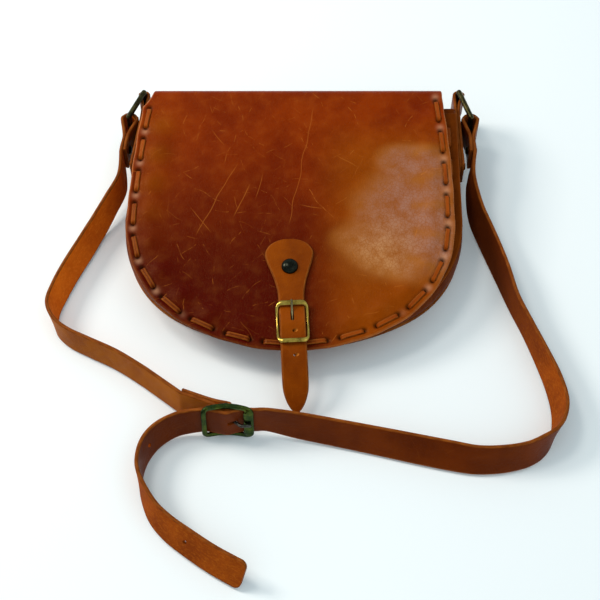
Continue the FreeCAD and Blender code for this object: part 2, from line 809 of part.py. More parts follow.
def buckle_station(frame, along, out):
    """Strap station, given by its place along the buckle and its distance out of the face."""
    foot = frame.multVec(Vector(along, -strap_width / 2, out))
    sunk = strap_leather / 2 * math.sin(math.radians(buckle_lean))
    return (foot.x, foot.y, foot.z - sunk, -buckle_lean)


def build_strap(shapes):
    """Short strap and long strap, which meet at the buckle."""
    frame = buckle_frame()
    chape_inner = buckle_bar_radius + chape_clearance
    behind_bar = buckle_end_rise - buckle_bar_radius - chape_layer_gap - strap_leather / 2
    over_bar = chape_inner - buckle_middle_drop + 1.5 * strap_leather + chape_layer_gap
    threaded = [buckle_station(frame, along, behind_bar + share * (over_bar - behind_bar))
                for along, share in buckle_crossing]
    falling = [fall_start(1)] + [moved_with_body(station) for station in right_fall_route]
    running = [moved_with_body(station) for station in right_run_route]
    tail = [moved_with_body(station) for station in tail_route]
    centres = strap_centres(falling + running + threaded + tail)
    fall, run = split_strap(centres, len(falling))
    shapes["right_strap_fall"] = band(fall, strap_leather)
    long_strap = band(run, strap_leather)
    slot = pulled_hole(strap_slot_start, strap_slot_end, strap_prong_radius + prong_slot_clearance,
                       behind_bar - 2 * strap_leather, over_bar + 2 * strap_leather)
    long_strap = long_strap.cut(placed(slot, frame))
    for station in tail_holes:
        long_strap = long_strap.cut(strap_hole(tail, station))
    shapes["long_strap"] = long_strap

    pivot = Vector(0, 0, -buckle_middle_drop)
    chape_frame = frame.multiply(Placement(pivot, Rotation(Y_AXIS, -chape_turn)))
    falling = [fall_start(-1)] + [moved_with_body(station) for station in left_fall_route]
    running = [moved_with_body(station) for station in left_run_route]
    centres = strap_centres(falling + running)
    up = frame.Rotation.multVec(Y_AXIS)
    layer = strap_layer_gap / 2 + strap_leather / 2
    for along in (-chape_length - chape_lead, -chape_length):
        centres.append((chape_frame.multVec(Vector(along, 0, layer)), up, strap_width))
    fall, run = split_strap(centres, len(falling))
    shapes["left_strap_fall"] = band(fall, strap_leather)
    shapes["short_strap"] = fuse([band(run, strap_leather), placed(chape(), chape_frame)])
    build_strap_buckle(shapes, frame)


def split_strap(centres, fall_stations):
    """Sections of the falling stretch and of the rest, which share the section between them."""
    sections = with_thickness(centres)
    joint = 2 * (fall_stations - 1)
    return sections[:joint + 1], sections[joint:]


def chape():
    """Strap end folded round the buckle's middle bar and back on itself, with a slot for the prong."""
    inner = buckle_bar_radius + chape_clearance
    outer = inner + strap_leather
    near = strap_layer_gap / 2
    far = near + strap_leather
    half = strap_width / 2
    tube = Part.makeCylinder(outer, 2 * half, Vector(0, -half, 0), Y_AXIS)
    tube = tube.cut(Part.makeCylinder(inner, 2 * half, Vector(0, -half, 0), Y_AXIS))
    pieces = [tube.common(block((0, -beyond, -beyond), (beyond, beyond, beyond)))]
    for way in (1, -1):
        outline = [(0, inner), (0, outer), (-chape_join, far), (-chape_length, far),
                   (-chape_length, near), (-chape_join, near)]
        corners = [Vector(x, -half, way * z) for x, z in outline]
        face = Part.Face(Part.makePolygon(corners + corners[:1]))
        pieces.append(face.extrude(Y_AXIS * strap_width))
    half_slot = chape_slot_width / 2
    slot_start = -strap_prong_hub_radius - chape_slot_margin
    slot = block((slot_start, -half_slot, -beyond), (beyond, half_slot, beyond))
    return fuse(pieces).cut(slot)


def pulled_hole(start, end, radius, low, high):
    """Hole that a prong has pulled oblong along X, between two heights."""
    ends = [Part.makeCylinder(radius, high - low, Vector(x, 0, low))
            for x in (start + radius, end - radius)]
    middle = block((start + radius, -radius, low), (end - radius, radius, high))
    return fuse(ends + [middle])


def strap_hole(route, station):
    """Punched hole through the strap at one of its stations."""
    centre, _, _, through = with_thickness(strap_centres(route))[2 * station]
    return Part.makeCylinder(strap_hole_radius, 4 * strap_leather,
                             centre - through * 2 * strap_leather, through)


def build_strap_buckle(shapes, frame):
    """Frame with arched rails, a round bar, a middle bar and a wide bar, and its prong."""
    inner = strap_width / 2 + buckle_side_clearance
    outer = inner + buckle_rail_width
    half_rail = buckle_rail_height / 2
    left_end = -buckle_bar_reach - buckle_bar_radius
    right_end = buckle_bar_reach + buckle_wide_bar / 2
    upper = arc((left_end, 0, buckle_end_rise + half_rail), (0, 0, half_rail - buckle_middle_drop),
                (right_end, 0, buckle_end_rise + half_rail))
    lower = arc((right_end, 0, buckle_end_rise - half_rail), (0, 0, -half_rail - buckle_middle_drop),
                (left_end, 0, buckle_end_rise - half_rail))
    left_cap = line((left_end, 0, buckle_end_rise - half_rail), (left_end, 0, buckle_end_rise + half_rail))
    right_cap = line((right_end, 0, buckle_end_rise + half_rail),
                     (right_end, 0, buckle_end_rise - half_rail))
    rail = Part.Face(Part.Wire([upper, right_cap, lower, left_cap])).extrude(Y_AXIS * buckle_rail_width)
    pieces = []
    for y in (inner, -outer):
        side_rail = rail.copy()
        side_rail.translate(Vector(0, y, 0))
        pieces.append(side_rail)
    for x, z in ((-buckle_bar_reach, buckle_end_rise), (0, -buckle_middle_drop)):
        pieces.append(rod(Vector(x, -outer, z), Vector(x, outer, z), buckle_bar_radius))
    half_wide = buckle_wide_bar / 2
    half_thick = buckle_wide_bar_thickness / 2
    pieces.append(block((buckle_bar_reach - half_wide, -outer, buckle_end_rise - half_thick),
                        (buckle_bar_reach + half_wide, outer, buckle_end_rise + half_thick)))
    shapes["strap_buckle"] = placed(fuse(pieces), frame)

    pivot = Vector(0, 0, -buckle_middle_drop)
    bore = buckle_bar_radius + prong_running_clearance
    half = strap_prong_width / 2
    seat = buckle_end_rise + half_thick + strap_prong_radius + prong_running_clearance
    knee = Vector(prong_knee_reach, 0, seat + prong_knee_rise)
    tip = Vector(buckle_bar_reach + strap_prong_overrun, 0, seat)
    prong = fuse([
        rod(pivot - Y_AXIS * half, pivot + Y_AXIS * half, strap_prong_hub_radius),
        rod(pivot, knee, strap_prong_radius),
        Part.makeSphere(strap_prong_radius, knee),
        rod(knee, tip, strap_prong_radius),
        Part.makeSphere(strap_prong_radius, tip),
    ])
    eye = rod(pivot - Y_AXIS * outer, pivot + Y_AXIS * outer, bore)
    shapes["strap_prong"] = placed(prong.cut(eye), frame)


def main():
    shapes = {}
    build_panels(shapes)
    build_flap(shapes)
    build_press_stud(shapes)
    build_closure(shapes)
    build_rings(shapes)
    build_strap_ends(shapes)
    build_strap(shapes)
    os.makedirs("parts", exist_ok=True)
    for name, shape in shapes.items():
        solids = len(shape.Solids)
        print(name, "solids", solids, "valid", shape.isValid(), "volume", round(shape.Volume, 1))
        shape.exportStep("parts/" + name + ".step")


main()
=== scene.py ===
"""Looks of a leather saddle handbag that lies on its back. Lengths are millimetres until a mesh is made."""
import math

import bpy
import numpy as np
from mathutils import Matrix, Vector


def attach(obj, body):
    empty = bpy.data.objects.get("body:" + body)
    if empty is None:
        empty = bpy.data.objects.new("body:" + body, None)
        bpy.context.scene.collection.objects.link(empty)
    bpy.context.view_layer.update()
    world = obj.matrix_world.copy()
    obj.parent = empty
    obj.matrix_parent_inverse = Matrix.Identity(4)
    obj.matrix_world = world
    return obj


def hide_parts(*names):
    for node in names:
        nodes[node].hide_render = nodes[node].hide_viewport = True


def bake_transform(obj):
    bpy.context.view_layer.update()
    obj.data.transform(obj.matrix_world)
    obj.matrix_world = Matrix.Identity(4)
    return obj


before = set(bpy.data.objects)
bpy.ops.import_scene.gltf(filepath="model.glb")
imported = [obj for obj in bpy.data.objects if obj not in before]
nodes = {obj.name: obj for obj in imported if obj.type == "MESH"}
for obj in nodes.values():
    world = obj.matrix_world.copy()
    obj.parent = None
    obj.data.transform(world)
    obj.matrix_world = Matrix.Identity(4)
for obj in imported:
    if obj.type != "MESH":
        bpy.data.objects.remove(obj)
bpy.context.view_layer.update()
scene = bpy.context.scene
scene.view_settings.view_transform = "Standard"

MM = 0.001
Z = np.array([0.0, 0.0, 1.0])

# Leather thicknesses, and the share of half of them that a band's edges are rounded by
panel_leather = 3.2
front_leather = 3.0
gusset_leather = 2.5
tab_leather = 2.5
strap_leather = 2.8
billet_leather = 2.6
edge_rounding = 0.9

# Body outline, and the gusset with its flanges, bends and swollen wall
body_half_width = 131.0
body_top = 108.0
body_bottom = -96.0
body_corner_radius = 88.0
body_half_angle = 30.0
body_left_lean = math.radians(5.5)
body_centre = np.array([0.0, 10.0])
front_top = 98.0
gusset_top = 104.0
flange_width = 14.0
flange_middle = 0.6
gusset_bend = 2.2
gusset_swell = 1.2
gusset_swell_down = (-55.0, -20.0)
gusset_wall_shares = np.linspace(0.12, 0.88, 8)
gusset_edge = 9.0

# Flap outline and folds
flap_tilt = math.radians(9.0)
flap_lean = math.radians(-1.3)
flap_length = 221.0
flap_half_width = 126.5
flap_corner_radius = 99.0
flap_half_angle = 28.5
flap_side_radius = 900.0
flap_side_over = 30.0
flap_centre = np.array([0.0, -100.0])
corner_cut = 11.0
corner_run = 9.0
fold_inner = 4.0
fold_outer = fold_inner + panel_leather
fold_middle = fold_inner + panel_leather / 2
fold_left = -112.5
fold_right = 119.0
bag_depth = 60.0
back_fold_z = fold_outer
front_fold_z = bag_depth - fold_outer * math.cos(flap_tilt)
fold_sweep = math.radians(99.0)
fold_length = fold_middle * fold_sweep
bridge_length = front_fold_z - back_fold_z
back_fold_length = fold_middle * math.pi / 2
front_high = fold_inner - 6.5
front_low = front_high - front_leather

# Flap leather that swells inside its stitches, but lies calm under the closing strap
swell_down = (4.0, 40.0)
wave_height = 0.8
pucker_inset = 9.0
pucker_radius = 6.5
pucker_height = 1.6
rim_inset = 13.0
rim_width = 9.0
rim_height = 1.3
calm_x = -3.0
calm_half_width = 34.0
calm_down = (110.0, 140.0)

# Flap edge that is drawn in at each stitch, its lacing holes, and the groove and lips under the thong
edge_draw = 0.8
edge_draw_radius = 9.0
edge_draw_down = (4.0, 20.0)
hole_shift = 0.9
hole_radius = 2.0
hole_depth = 1.7
# Painted shade in the lacing holes: how far it reaches
hole_shade_radius = 2.2
groove_half_width = 2.3
groove_depth = 0.2
lip_away = 3.6
lip_width = 1.2
lip_height = 0.2

# Flap tones, a darker patch, a golden tone and painted light (a painted sheen with its border, painted
# highlights, painted fold shade): where they change down and across the flap, how far they reach and how
# strong they are
shade_down = (20.0, 175.0)
shade_across = (-5.0, 62.0)
shade_fade = 0.95
# A painted sheen on the flap's right side and its golden border
sheen_fade = (0.0, 2.0)
sheen_strength = 0.85
sheen_border_fade = (0.6, 2.8)
sheen_border_strength = 0.4
# Golden lightening: painted highlights at the sheen's border and inside the left stitches, and a golden
# tone to the right
sheen_border_highlight = 0.9
right_gold = 0.45
right_gold_across = (5.0, 55.0)
right_gold_down = (15.0, 60.0)
left_highlight = 0.4
left_highlight_stitches = 5
left_highlight_inset = 12.0
left_highlight_radius = 12.0
left_highlight_up = (-150.0, -60.0)
# Painted fold shade: the painted sheen is dimmed along a fold from each right-hand stitch inward
valley_first_stitch = 13
valley_length = 24.0
valley_half_width = 4.5
fold_shade_strength = 0.6
# Peach tint of the painted sheen lower down
peach_sheen_down = (95.0, 150.0)
peach_sheen_across = (66.0, 108.0)
# Pale painted highlights just past the end hole of each stitch
lip_highlight = 0.45
lip_highlight_shift = 4.4
lip_highlight_radius = 2.6
lip_highlight_across = (70.0, 105.0)

# Hollows at the lacing holes of the panels
back_groove_depth = 1.9
back_groove_half_width = 2.9
front_hole_depth = 1.2
front_hole_radius = 2.4

# Lacing: its stitches, and how a stitch bows between its holes and dips towards them
thong_width = 4.4
thong_thickness = 1.6
lace_inset = 8.0
flap_lace_inset = 5.8
flap_thong_width = 3.7
flap_thong_settled = 0.45
stitch_length = 17.0
stitch_gap = 12.0
lace_end_margin = 14.0
flap_lace_start = 16.0
flap_lace_end = 4.0
stitch_bow = 0.105
stitch_dip = 0.1575
stitch_dive = 1.2
stitch_shoulder = 4.0
thong_shade = 0.85

# Closing strap, its stud and buckle, in a frame on the flap
closure_x = -3.3
closure_y = -148.0
closure_lean = math.radians(2.8)
stud_drop = 5.7
stud_radius = 6.3
stud_height = 3.6
stud_rim_height = 0.15
stud_rim_step = 0.2
stud_stem_radius = 2.0
stud_hole_radius = 2.1
billet_gap = 0.1
billet_base = fold_outer + billet_gap
billet_rest = billet_base + billet_leather / 2
buckle_middle = 52.0
bar_spacing = 15.0
frame_half_width = 11.2
frame_end_over = 0.4
frame_corner = 4.2
frame_top_end = 11.8
frame_middle = 9.05
frame_low_end = 13.4
frame_top_width = 4.2
frame_low_width = 3.6
frame_rail_width = 2.3
frame_depth = 2.6
frame_bar_width = 2.0
frame_boxy = 0.85
billet_over_middle = 3.8
billet_over_lace = 1.9
billet_over_top = 0.3

# Closing strap: distance down it, width and how far it lies lower than its rest
billet_stations = [
    (-17.3, 10.0, 0.0),
    (-15.8, 20.0, 0.0),
    (-12.5, 30.0, 0.0),
    (-6.3, 36.7, 0.0),
    (1.0, 34.5, 0.0),
    (9.0, 29.0, 0.0),
    (17.0, 24.0, 0.0),
    (25.0, 20.6, 0.0),
    (31.0, 19.5, 0.0),
    (buckle_middle - bar_spacing, 19.5, -billet_over_top),
    (buckle_middle - bar_spacing / 2, 19.5, -(billet_over_middle + billet_over_top) / 2),
    (buckle_middle, 19.5, -billet_over_middle),
    (buckle_middle + bar_spacing / 2, 19.5, -(billet_over_middle + billet_over_lace) / 2),
    (buckle_middle + bar_spacing, 19.5, -billet_over_lace),
    (76.0, 19.5, -1.4),
    (85.0, 19.5, 0.6),
    (94.0, 19.5, 3.4),
    (102.0, 18.6, 6.8),
    (109.0, 14.6, 9.8),
    (114.0, 9.0, 12.0),
    (117.0, 3.0, 13.3),
]
billet_holes = [buckle_middle + 7.1, buckle_middle + 25.7]
billet_hole_radius = 1.35
billet_hole_slant = 1.15
billet_slot_at = buckle_middle - 5.15
billet_slot_radius = 1.3
billet_slot_stretch = 6.7

# Rings, tabs and strap ends
tab_z = 26.0
tab_width = 24.0
tab_bottom = 54.0
tab_loop_y = 127.0
tab_join_drop = 17.0
ring_wire = 2.2
ring_slack = 0.1
ring_reach = 28.0
ring_lean = math.radians(16.5)
strap_width = 24.0
strap_layer = 1.5
strap_loop_radius = 5.8
strap_join_drop = 16.0
strap_doubled = 32.0
strap_step_over = 6.0

# Strap buckle and the strap end folded round its middle bar
buckle_origin = np.array([-48.0, -164.097, 16.844])
buckle_lean = math.radians(14.0)
buckle_up = np.array([0.0, math.sin(buckle_lean), math.cos(buckle_lean)])
buckle_out = np.array([0.0, -math.cos(buckle_lean), math.sin(buckle_lean)])
buckle_along = np.array([1.0, 0.0, 0.0])
middle_drop = 3.5
middle_bar_width = 3.2
middle_bar_inset = 1.0
bar_reach = 16.0
bar_out = 2.6
bar_depth = 2.6
wide_bar_width = 7.4
narrow_bar_width = 3.8
rail_drop = 0.6
rail_width = 3.6
rail_depth = 3.6
buckle_half_long = 16.0
buckle_half_tall = 14.0
buckle_corner = 3.6
buckle_boxy = 0.6
chape_turn = math.radians(24.0)
chape_loop_radius = 3.3
chape_join = 13.0
chape_length = 36.0
chape_slot_at = 1.0
chape_slot_radius = 2.8
chape_slot_stretch = 6.0

# Strap in its buckle: place along it, and its share of the way from behind the bars to over them
strap_behind_bar = -0.4
strap_over_bar = 3.0
buckle_crossing = [
    (30.0, 0.0),
    (20.0, 0.0),
    (12.0, 0.0),
    (5.6, 0.5),
    (0.0, 1.0),
    (-7.2, 0.5),
    (-16.0, 0.0),
]
strap_slot_place = (4.7, 0.0, 1.5)
strap_slot_radius = 1.6
strap_slot_stretch = 5.0

# Free end of the strap, and the stretch of strap darkened by painted shadow where the bag's shadow falls on
# it
tail_hole_stations = [3, 9]
tail_hole_radius = 1.7
tail_corner = 5.0
tail_end_rows = 4
tail_end_step = 0.3
shadow_from = (75.0, 135.0)
shadow_to = (185.0, 300.0)
shadow_strength = 0.85

# Strap routes: x, y and height of the lower edge, and how far the top leans to the left of travel
right_route = [
    (140.5, 48.0, 9.0, 8.0),
    (141.0, 22.0, 3.5, 20.0),
    (148.0, -2.0, 0.0, 23.0),
    (157.5, -32.0, 0.0, 18.0),
    (166.5, -60.0, 0.0, 8.0),
    (175.0, -84.0, 0.0, 7.0),
    (182.5, -110.0, 0.0, 12.0),
    (187.5, -132.0, 0.0, 18.0),
    (189.5, -151.0, 0.0, 20.0),
    (187.5, -168.0, 0.0, 10.0),
    (182.0, -182.0, 0.0, -12.0),
    (170.0, -192.0, 0.0, -22.0),
    (152.0, -197.5, 0.0, -28.0),
    (130.0, -199.0, 0.0, -32.0),
    (108.0, -195.5, 0.0, -36.0),
    (82.0, -189.5, 0.0, -34.0),
    (56.0, -183.0, 0.0, -30.0),
    (30.0, -177.0, 0.4, -27.0),
    (4.0, -171.5, 1.6, -24.0),
]
tail_route = [
    (-76.0, -167.5, 2.6, -16.0),
    (-85.0, -169.5, 1.0, -16.0),
    (-94.0, -175.0, 0.0, -17.0),
    (-101.0, -183.0, 0.0, -15.0),
    (-106.0, -193.0, 0.0, -9.0),
    (-108.0, -204.5, 0.0, -2.0),
    (-106.0, -219.0, 0.0, 9.0),
    (-100.0, -235.0, 0.0, 19.0),
    (-90.0, -248.0, 0.0, 26.0),
    (-77.0, -259.0, 0.0, 30.0),
    (-58.0, -272.5, 0.0, 32.0),
    (-36.6, -285.0, 0.0, 34.0),
]
left_route = [
    (-137.0, 48.0, 9.0, -8.0),
    (-144.5, 28.0, 4.5, -13.0),
    (-153.0, 8.0, 0.0, -18.0),
    (-160.5, -11.0, 0.0, -20.0),
    (-169.5, -32.0, 0.0, -20.0),
    (-176.5, -51.0, 0.0, -19.0),
    (-181.0, -67.0, 0.0, -14.0),
    (-179.0, -82.0, 0.0, 0.0),
    (-169.0, -93.0, 0.0, 6.0),
    (-153.0, -102.0, 0.0, 8.0),
    (-132.0, -113.0, 0.0, 9.0),
    (-111.0, -127.5, 0.2, 10.0),
]

# Mesh spacing
outline_step = 1.1
gusset_step = 2.0
strap_step = 2.0
tab_step = 1.0
billet_step = 1.2
thong_step = 0.7
arc_step = 0.5
buckle_step = 0.6
column_width = 2.0
span_samples = 12
side_samples = 200
bar_samples = 12
section_sides = 24
lathe_sides = 72
half_turn = np.radians([90, 60, 30, 0, -30, -60, -90])
bend_turns = np.radians([0, 30, 60])
dome_turns = np.radians(np.linspace(85, 6, 20))
crease_angle = math.radians(50)
end_slack = 0.05

# Depths of the cutters for holes
billet_cut = 12.0
tail_cut = 14.0
buckle_cut = 16.0
slot_cut = 30.0


def unit(vectors):
    return vectors / np.linalg.norm(vectors, axis=-1, keepdims=True)


def columns(*parts):
    return np.stack(parts, axis=1)


def lengths_along(points):
    steps = np.linalg.norm(np.diff(points, axis=0), axis=1)
    return np.concatenate([[0.0], np.cumsum(steps)])


def resample(rows, step, measured=3):
    """Rows at even spacing; the first columns are the place that is measured along."""
    along = lengths_along(rows[:, :measured])
    count = max(2, round(along[-1] / step))
    places = np.linspace(0, along[-1], count + 1)
    return columns(*[np.interp(places, along, column) for column in rows.T])


def closed_outline(points, step=outline_step):
    """Points at even spacing all round an outline."""
    return resample(np.vstack([points, points[:1]]), step, 2)[:-1]


def smooth_route(stations):
    """Smooth curve through stations."""
    knots = np.array(stations, float)
    padded = np.vstack([knots[:1], knots, knots[-1:]])
    rows = []
    for index in range(len(knots) - 1):
        before, here, there, after = padded[index:index + 4]
        for sample in range(span_samples):
            t = sample / span_samples
            rows.append(0.5 * (2 * here + (there - before) * t
                               + (2 * before - 5 * here + 4 * there - after) * t ** 2
                               + (3 * here - before - 3 * there + after) * t ** 3))
    rows.append(knots[-1])
    return np.array(rows)


def arc_points(centre, radius, start, end):
    """Points on an arc, its angles in degrees."""
    count = max(3, round(abs(math.radians(end - start)) * radius / arc_step))
    turn = np.radians(np.linspace(start, end, count))
    return columns(centre[0] + radius * np.cos(turn), centre[1] + radius * np.sin(turn))


def bottom_arc(half_width, corner_radius, half_angle):
    """Radius of the arc along an outline's bottom, and how far it lies under the widest line."""
    turn = math.radians(half_angle)
    radius = (half_width - corner_radius * (1 - math.sin(turn))) / math.sin(turn)
    return radius, radius * (1 - math.cos(turn)) + corner_radius * math.cos(turn)


def rounded_path(half_width, corner_radius, half_angle, widest_y, top_y, side_radius=None, left_lean=0.0):
    """Down the left side, which may lean in, round the bottom and up the right side."""
    radius, depth = bottom_arc(half_width, corner_radius, half_angle)
    corner_x = half_width - corner_radius
    rise = np.linspace(top_y - widest_y, 0, side_samples)
    side_x = np.full_like(rise, half_width)
    if side_radius:
        side_x = half_width - side_radius + np.sqrt(side_radius ** 2 - rise ** 2)
    left_side = columns(rise * math.tan(left_lean) - side_x, widest_y + rise)
    right_side = columns(side_x, widest_y + rise)[::-1]
    return np.vstack([
        left_side[:-1],
        arc_points((-corner_x, widest_y), corner_radius, 180, 270 - half_angle)[:-1],
        arc_points((0, widest_y - depth + radius), radius, 270 - half_angle, 270 + half_angle)[:-1],
        arc_points((corner_x, widest_y), corner_radius, 270 + half_angle, 360)[:-1],
        right_side,
    ])


body_widest_y = body_bottom + bottom_arc(body_half_width, body_corner_radius, body_half_angle)[1]
flap_widest_y = bottom_arc(flap_half_width, flap_corner_radius, flap_half_angle)[1] - flap_length


def body_path(inset, top_y):
    return rounded_path(body_half_width - inset, body_corner_radius - inset, body_half_angle,
                        body_widest_y, top_y, None, body_left_lean)


def flap_path(inset, top_y):
    return rounded_path(flap_half_width - inset, flap_corner_radius - inset, flap_half_angle,
                        flap_widest_y, top_y, flap_side_radius - inset)


def turned(points, angle):
    cos, sin = math.cos(angle), math.sin(angle)
    return points @ np.array([[cos, sin], [-sin, cos]])


def lace_holes(path, start_margin, end_margin):
    """Hole centres along a path, in pairs, one pair to a stitch."""
    along = lengths_along(path)
    room = along[-1] - start_margin - end_margin
    count = round((room + stitch_gap) / (stitch_length + stitch_gap))
    scale = room / (count * stitch_length + (count - 1) * stitch_gap)
    places = []
    for stitch in range(count):
        start = start_margin + stitch * (stitch_length + stitch_gap) * scale
        places += [start, start + stitch_length * scale]
    return columns(*[np.interp(places, along, column) for column in path.T])


flap_holes = turned(lace_holes(flap_path(flap_lace_inset, 0), flap_lace_start, flap_lace_end), flap_lean)
body_holes = lace_holes(body_path(lace_inset, front_top), lace_end_margin, lace_end_margin)
flap_starts, flap_ends = flap_holes[0::2], flap_holes[1::2]
flap_stitches = (flap_starts + flap_ends) / 2
flap_runs = unit(flap_ends - flap_starts)
flap_hole_places = np.vstack([flap_starts - flap_runs * hole_shift, flap_ends + flap_runs * hole_shift])
flap_inward = unit(flap_centre - flap_stitches)


def step_up(value, low, high):
    t = np.clip((value - low) / (high - low), 0, 1)
    return t * t * (3 - 2 * t)


def near(flat, places, radius):
    """1 at the places and 0 well away from them."""
    away = np.linalg.norm(flat[:, None, :] - places[None, :, :], axis=2).min(axis=1)
    return np.exp(-(away / radius) ** 2)


def segment_distance(flat, starts, ends):
    """How far each point is from the nearest of some straight lines."""
    run = ends - starts
    offset = flat[:, None, :] - starts[None, :, :]
    share = np.clip((offset * run).sum(axis=2) / (run ** 2).sum(axis=1), 0, 1)
    return np.linalg.norm(offset - share[:, :, None] * run, axis=2).min(axis=1)


def flap_swell(flat):
    """How far the flap's leather stands off its plane: puckers inside the stitches and slow waves."""
    u, v = flat[:, 0], flat[:, 1]
    calm = 1 - np.exp(-((u - calm_x) / calm_half_width) ** 2) * step_up(-v, *calm_down)
    waves = 0.45 * np.sin(u / 31 + 0.9) * np.sin(v / 38 + 0.5) + 0.3 * np.sin(u / 17 - v / 23 + 1.7)
    puckers = near(flat, flap_stitches + flap_inward * pucker_inset, pucker_radius)
    from_lacing = segment_distance(flat, flap_holes[:-1], flap_holes[1:])
    rim = np.exp(-((from_lacing - rim_inset) / rim_width) ** 2)
    swell = wave_height * waves + pucker_height * puckers + rim_height * rim
    return step_up(-v, *swell_down) * calm * swell


def on_flap_plane(x, along, up):
    """Points across the flap's tilted plane, along it from the front fold, and off it."""
    cos, sin = math.cos(flap_tilt), math.sin(flap_tilt)
    return np.stack([x, body_top + along * cos - up * sin, front_fold_z + along * sin + up * cos], axis=-1)


def flap_place(flat, height):
    """Points of the flap's leather, which bends round the front fold above v = 0."""
    v = flat[:, 1]
    turn = np.maximum(v, 0) / fold_middle
    lifted = height + flap_swell(flat)
    along = np.where(v > 0, lifted * np.sin(turn), v)
    up = np.where(v > 0, lifted * np.cos(turn), lifted)
    return on_flap_plane(flat[:, 0], along, up)


def front_place(flat, height):
    """Points of the front panel, which lies parallel to the flap over the body's outline."""
    along = (flat[:, 1] - body_top + height * math.sin(flap_tilt)) / math.cos(flap_tilt)
    return on_flap_plane(flat[:, 0], along, height)


def floor_place(flat, height):
    return columns(flat[:, 0], flat[:, 1], height)


def bridge_place(flat, height):
    """Points of the leather over the bag's top, measured down from the front fold to the back fold."""
    down = flat[:, 1]
    turn = np.maximum(down - bridge_length, 0) / fold_middle
    straight = np.minimum(down, bridge_length)
    return columns(flat[:, 0], body_top + height * np.cos(turn),
                   front_fold_z - straight - height * np.sin(turn))


def make_piece(name, points, faces, materials, face_slots=None, attributes=None):
    mesh = bpy.data.meshes.new(name)
    mesh.from_pydata((points * MM).tolist(), [], faces)
    for material in materials:
        mesh.materials.append(material)
    if face_slots is not None:
        mesh.polygons.foreach_set("material_index", face_slots)
    mesh.polygons.foreach_set("use_smooth", [True] * len(mesh.polygons))
    corners = np.zeros(len(mesh.loops), int)
    mesh.loops.foreach_get("vertex_index", corners)
    for key, values in (attributes or {}).items():
        if values.ndim == 2:
            layer = mesh.attributes.new(key, "FLOAT_VECTOR", "CORNER")
            layer.data.foreach_set("vector", (values[corners] * MM).ravel())
        else:
            layer = mesh.attributes.new(key, "FLOAT", "CORNER")
            layer.data.foreach_set("value", values[corners])
    mesh.update()
    piece = bpy.data.objects.new(name, mesh)
    scene.collection.objects.link(piece)
    return piece


def grid_faces(rows, loop, first=0, closed=False, flipped=False):
    """Faces between rows of points that are closed loops; the last row meets the first if closed."""
    faces = []
    for row in range(rows if closed else rows - 1):
        here = first + row * loop
        there = first + (row + 1) % rows * loop
        for side in range(loop):
            after = (side + 1) % loop
            if flipped:
                faces.append((here + side, here + after, there + after, there + side))
            else:
                faces.append((here + side, there + side, there + after, here + after))
    return faces


def end_faces(rows, loop, flipped=False):
    """Faces that close the first and the last row of a grid."""
    first = tuple(range(loop))
    last = tuple(range((rows - 1) * loop, rows * loop))
    return [first[::-1], last] if flipped else [first, last[::-1]]


def sharpen(piece):
    piece.data.set_sharp_from_angle(angle=crease_angle)


# Distances from a sheet's rim at which it has a ring of points, and the turns of its rounded rim
rim_rings = [2.2, 2.9, 3.6, 4.3, 5.0, 5.7, 6.4, 7.1, 7.8, 8.6,
             9.5, 10.5, 11.7, 13.0, 14.5, 16.2, 18.0, 20.0, 22.5, 25.0]
rim_turns = np.radians([90, 68, 45, 22, 0, -22, -45, -68, -90])
inner_rings = 40
far_from_rim = 99.0


def sheet(name, outline, centre, low, high, place, materials, sunk=None, grooved=None, square=None,
          tones=None):
    """Thick leather cut to an outline, with rounded edges; flat points are placed by a function.

    The first material is for the upper face and the rim, the last for the lower face. sunk and grooved
    say how far the upper and the lower face give way. Outline points where square is true keep a sharp
    edge. tones gives named values for each flat point.
    """
    count = len(outline)
    inward = unit(centre - outline)
    half = (high - low) / 2
    rounding = np.full(count, half)
    if square is not None:
        rounding[square] = 0.0
    flats, heights, faces_up, depths = [], [], [], []

    def add(flat, height, up, depth):
        flats.append(flat)
        heights.append(np.full(len(flat), height))
        faces_up.append(np.full(len(flat), up))
        depths.append(np.full(len(flat), depth))

    last = outline + inward * rim_rings[-1]
    face_rings = [(centre[None, :], far_from_rim)]
    for share in np.linspace(0, 1, inner_rings + 1)[1:-1]:
        face_rings.append((centre + (last - centre) * share, far_from_rim))
    for depth in reversed(rim_rings):
        face_rings.append((outline + inward * depth, depth))
    for flat, depth in face_rings:
        add(flat, high, 1.0, depth)
    for turn in rim_turns:
        depth = rounding * (1 - math.cos(turn))
        height = (low + high) / 2 + half * math.sin(turn)
        add(outline + inward * depth[:, None], height, math.sin(turn), half * (1 - math.cos(turn)))
    for flat, depth in reversed(face_rings):
        add(flat, low, -1.0, depth)
    flat = np.concatenate(flats)
    height = np.concatenate(heights)
    up = np.concatenate(faces_up)
    if sunk is not None:
        height = height - sunk(flat) * np.maximum(up, 0)
    if grooved is not None:
        height = height + grooved(flat) * np.maximum(-up, 0)
    rings = len(flats) - 2
    upper_rings = len(face_rings) - 1 + len(rim_turns)
    final = 1 + (rings - 1) * count
    faces = [(0, 1 + index, 1 + (index + 1) % count) for index in range(count)]
    faces += grid_faces(rings, count, 1)
    faces += [(final + index, final + count, final + (index + 1) % count) for index in range(count)]
    under = len(materials) - 1
    face_slots = [0] * (upper_rings * count) + [under] * ((rings + 1 - upper_rings) * count)
    attributes = {"flat": columns(flat[:, 0], flat[:, 1], up * half), "edge": np.concatenate(depths) * MM}
    if tones is not None:
        attributes.update(tones(flat))
    piece = make_piece(name, place(flat, height), faces, materials, face_slots, attributes)
    if square is not None:
        sharpen(piece)
    return piece


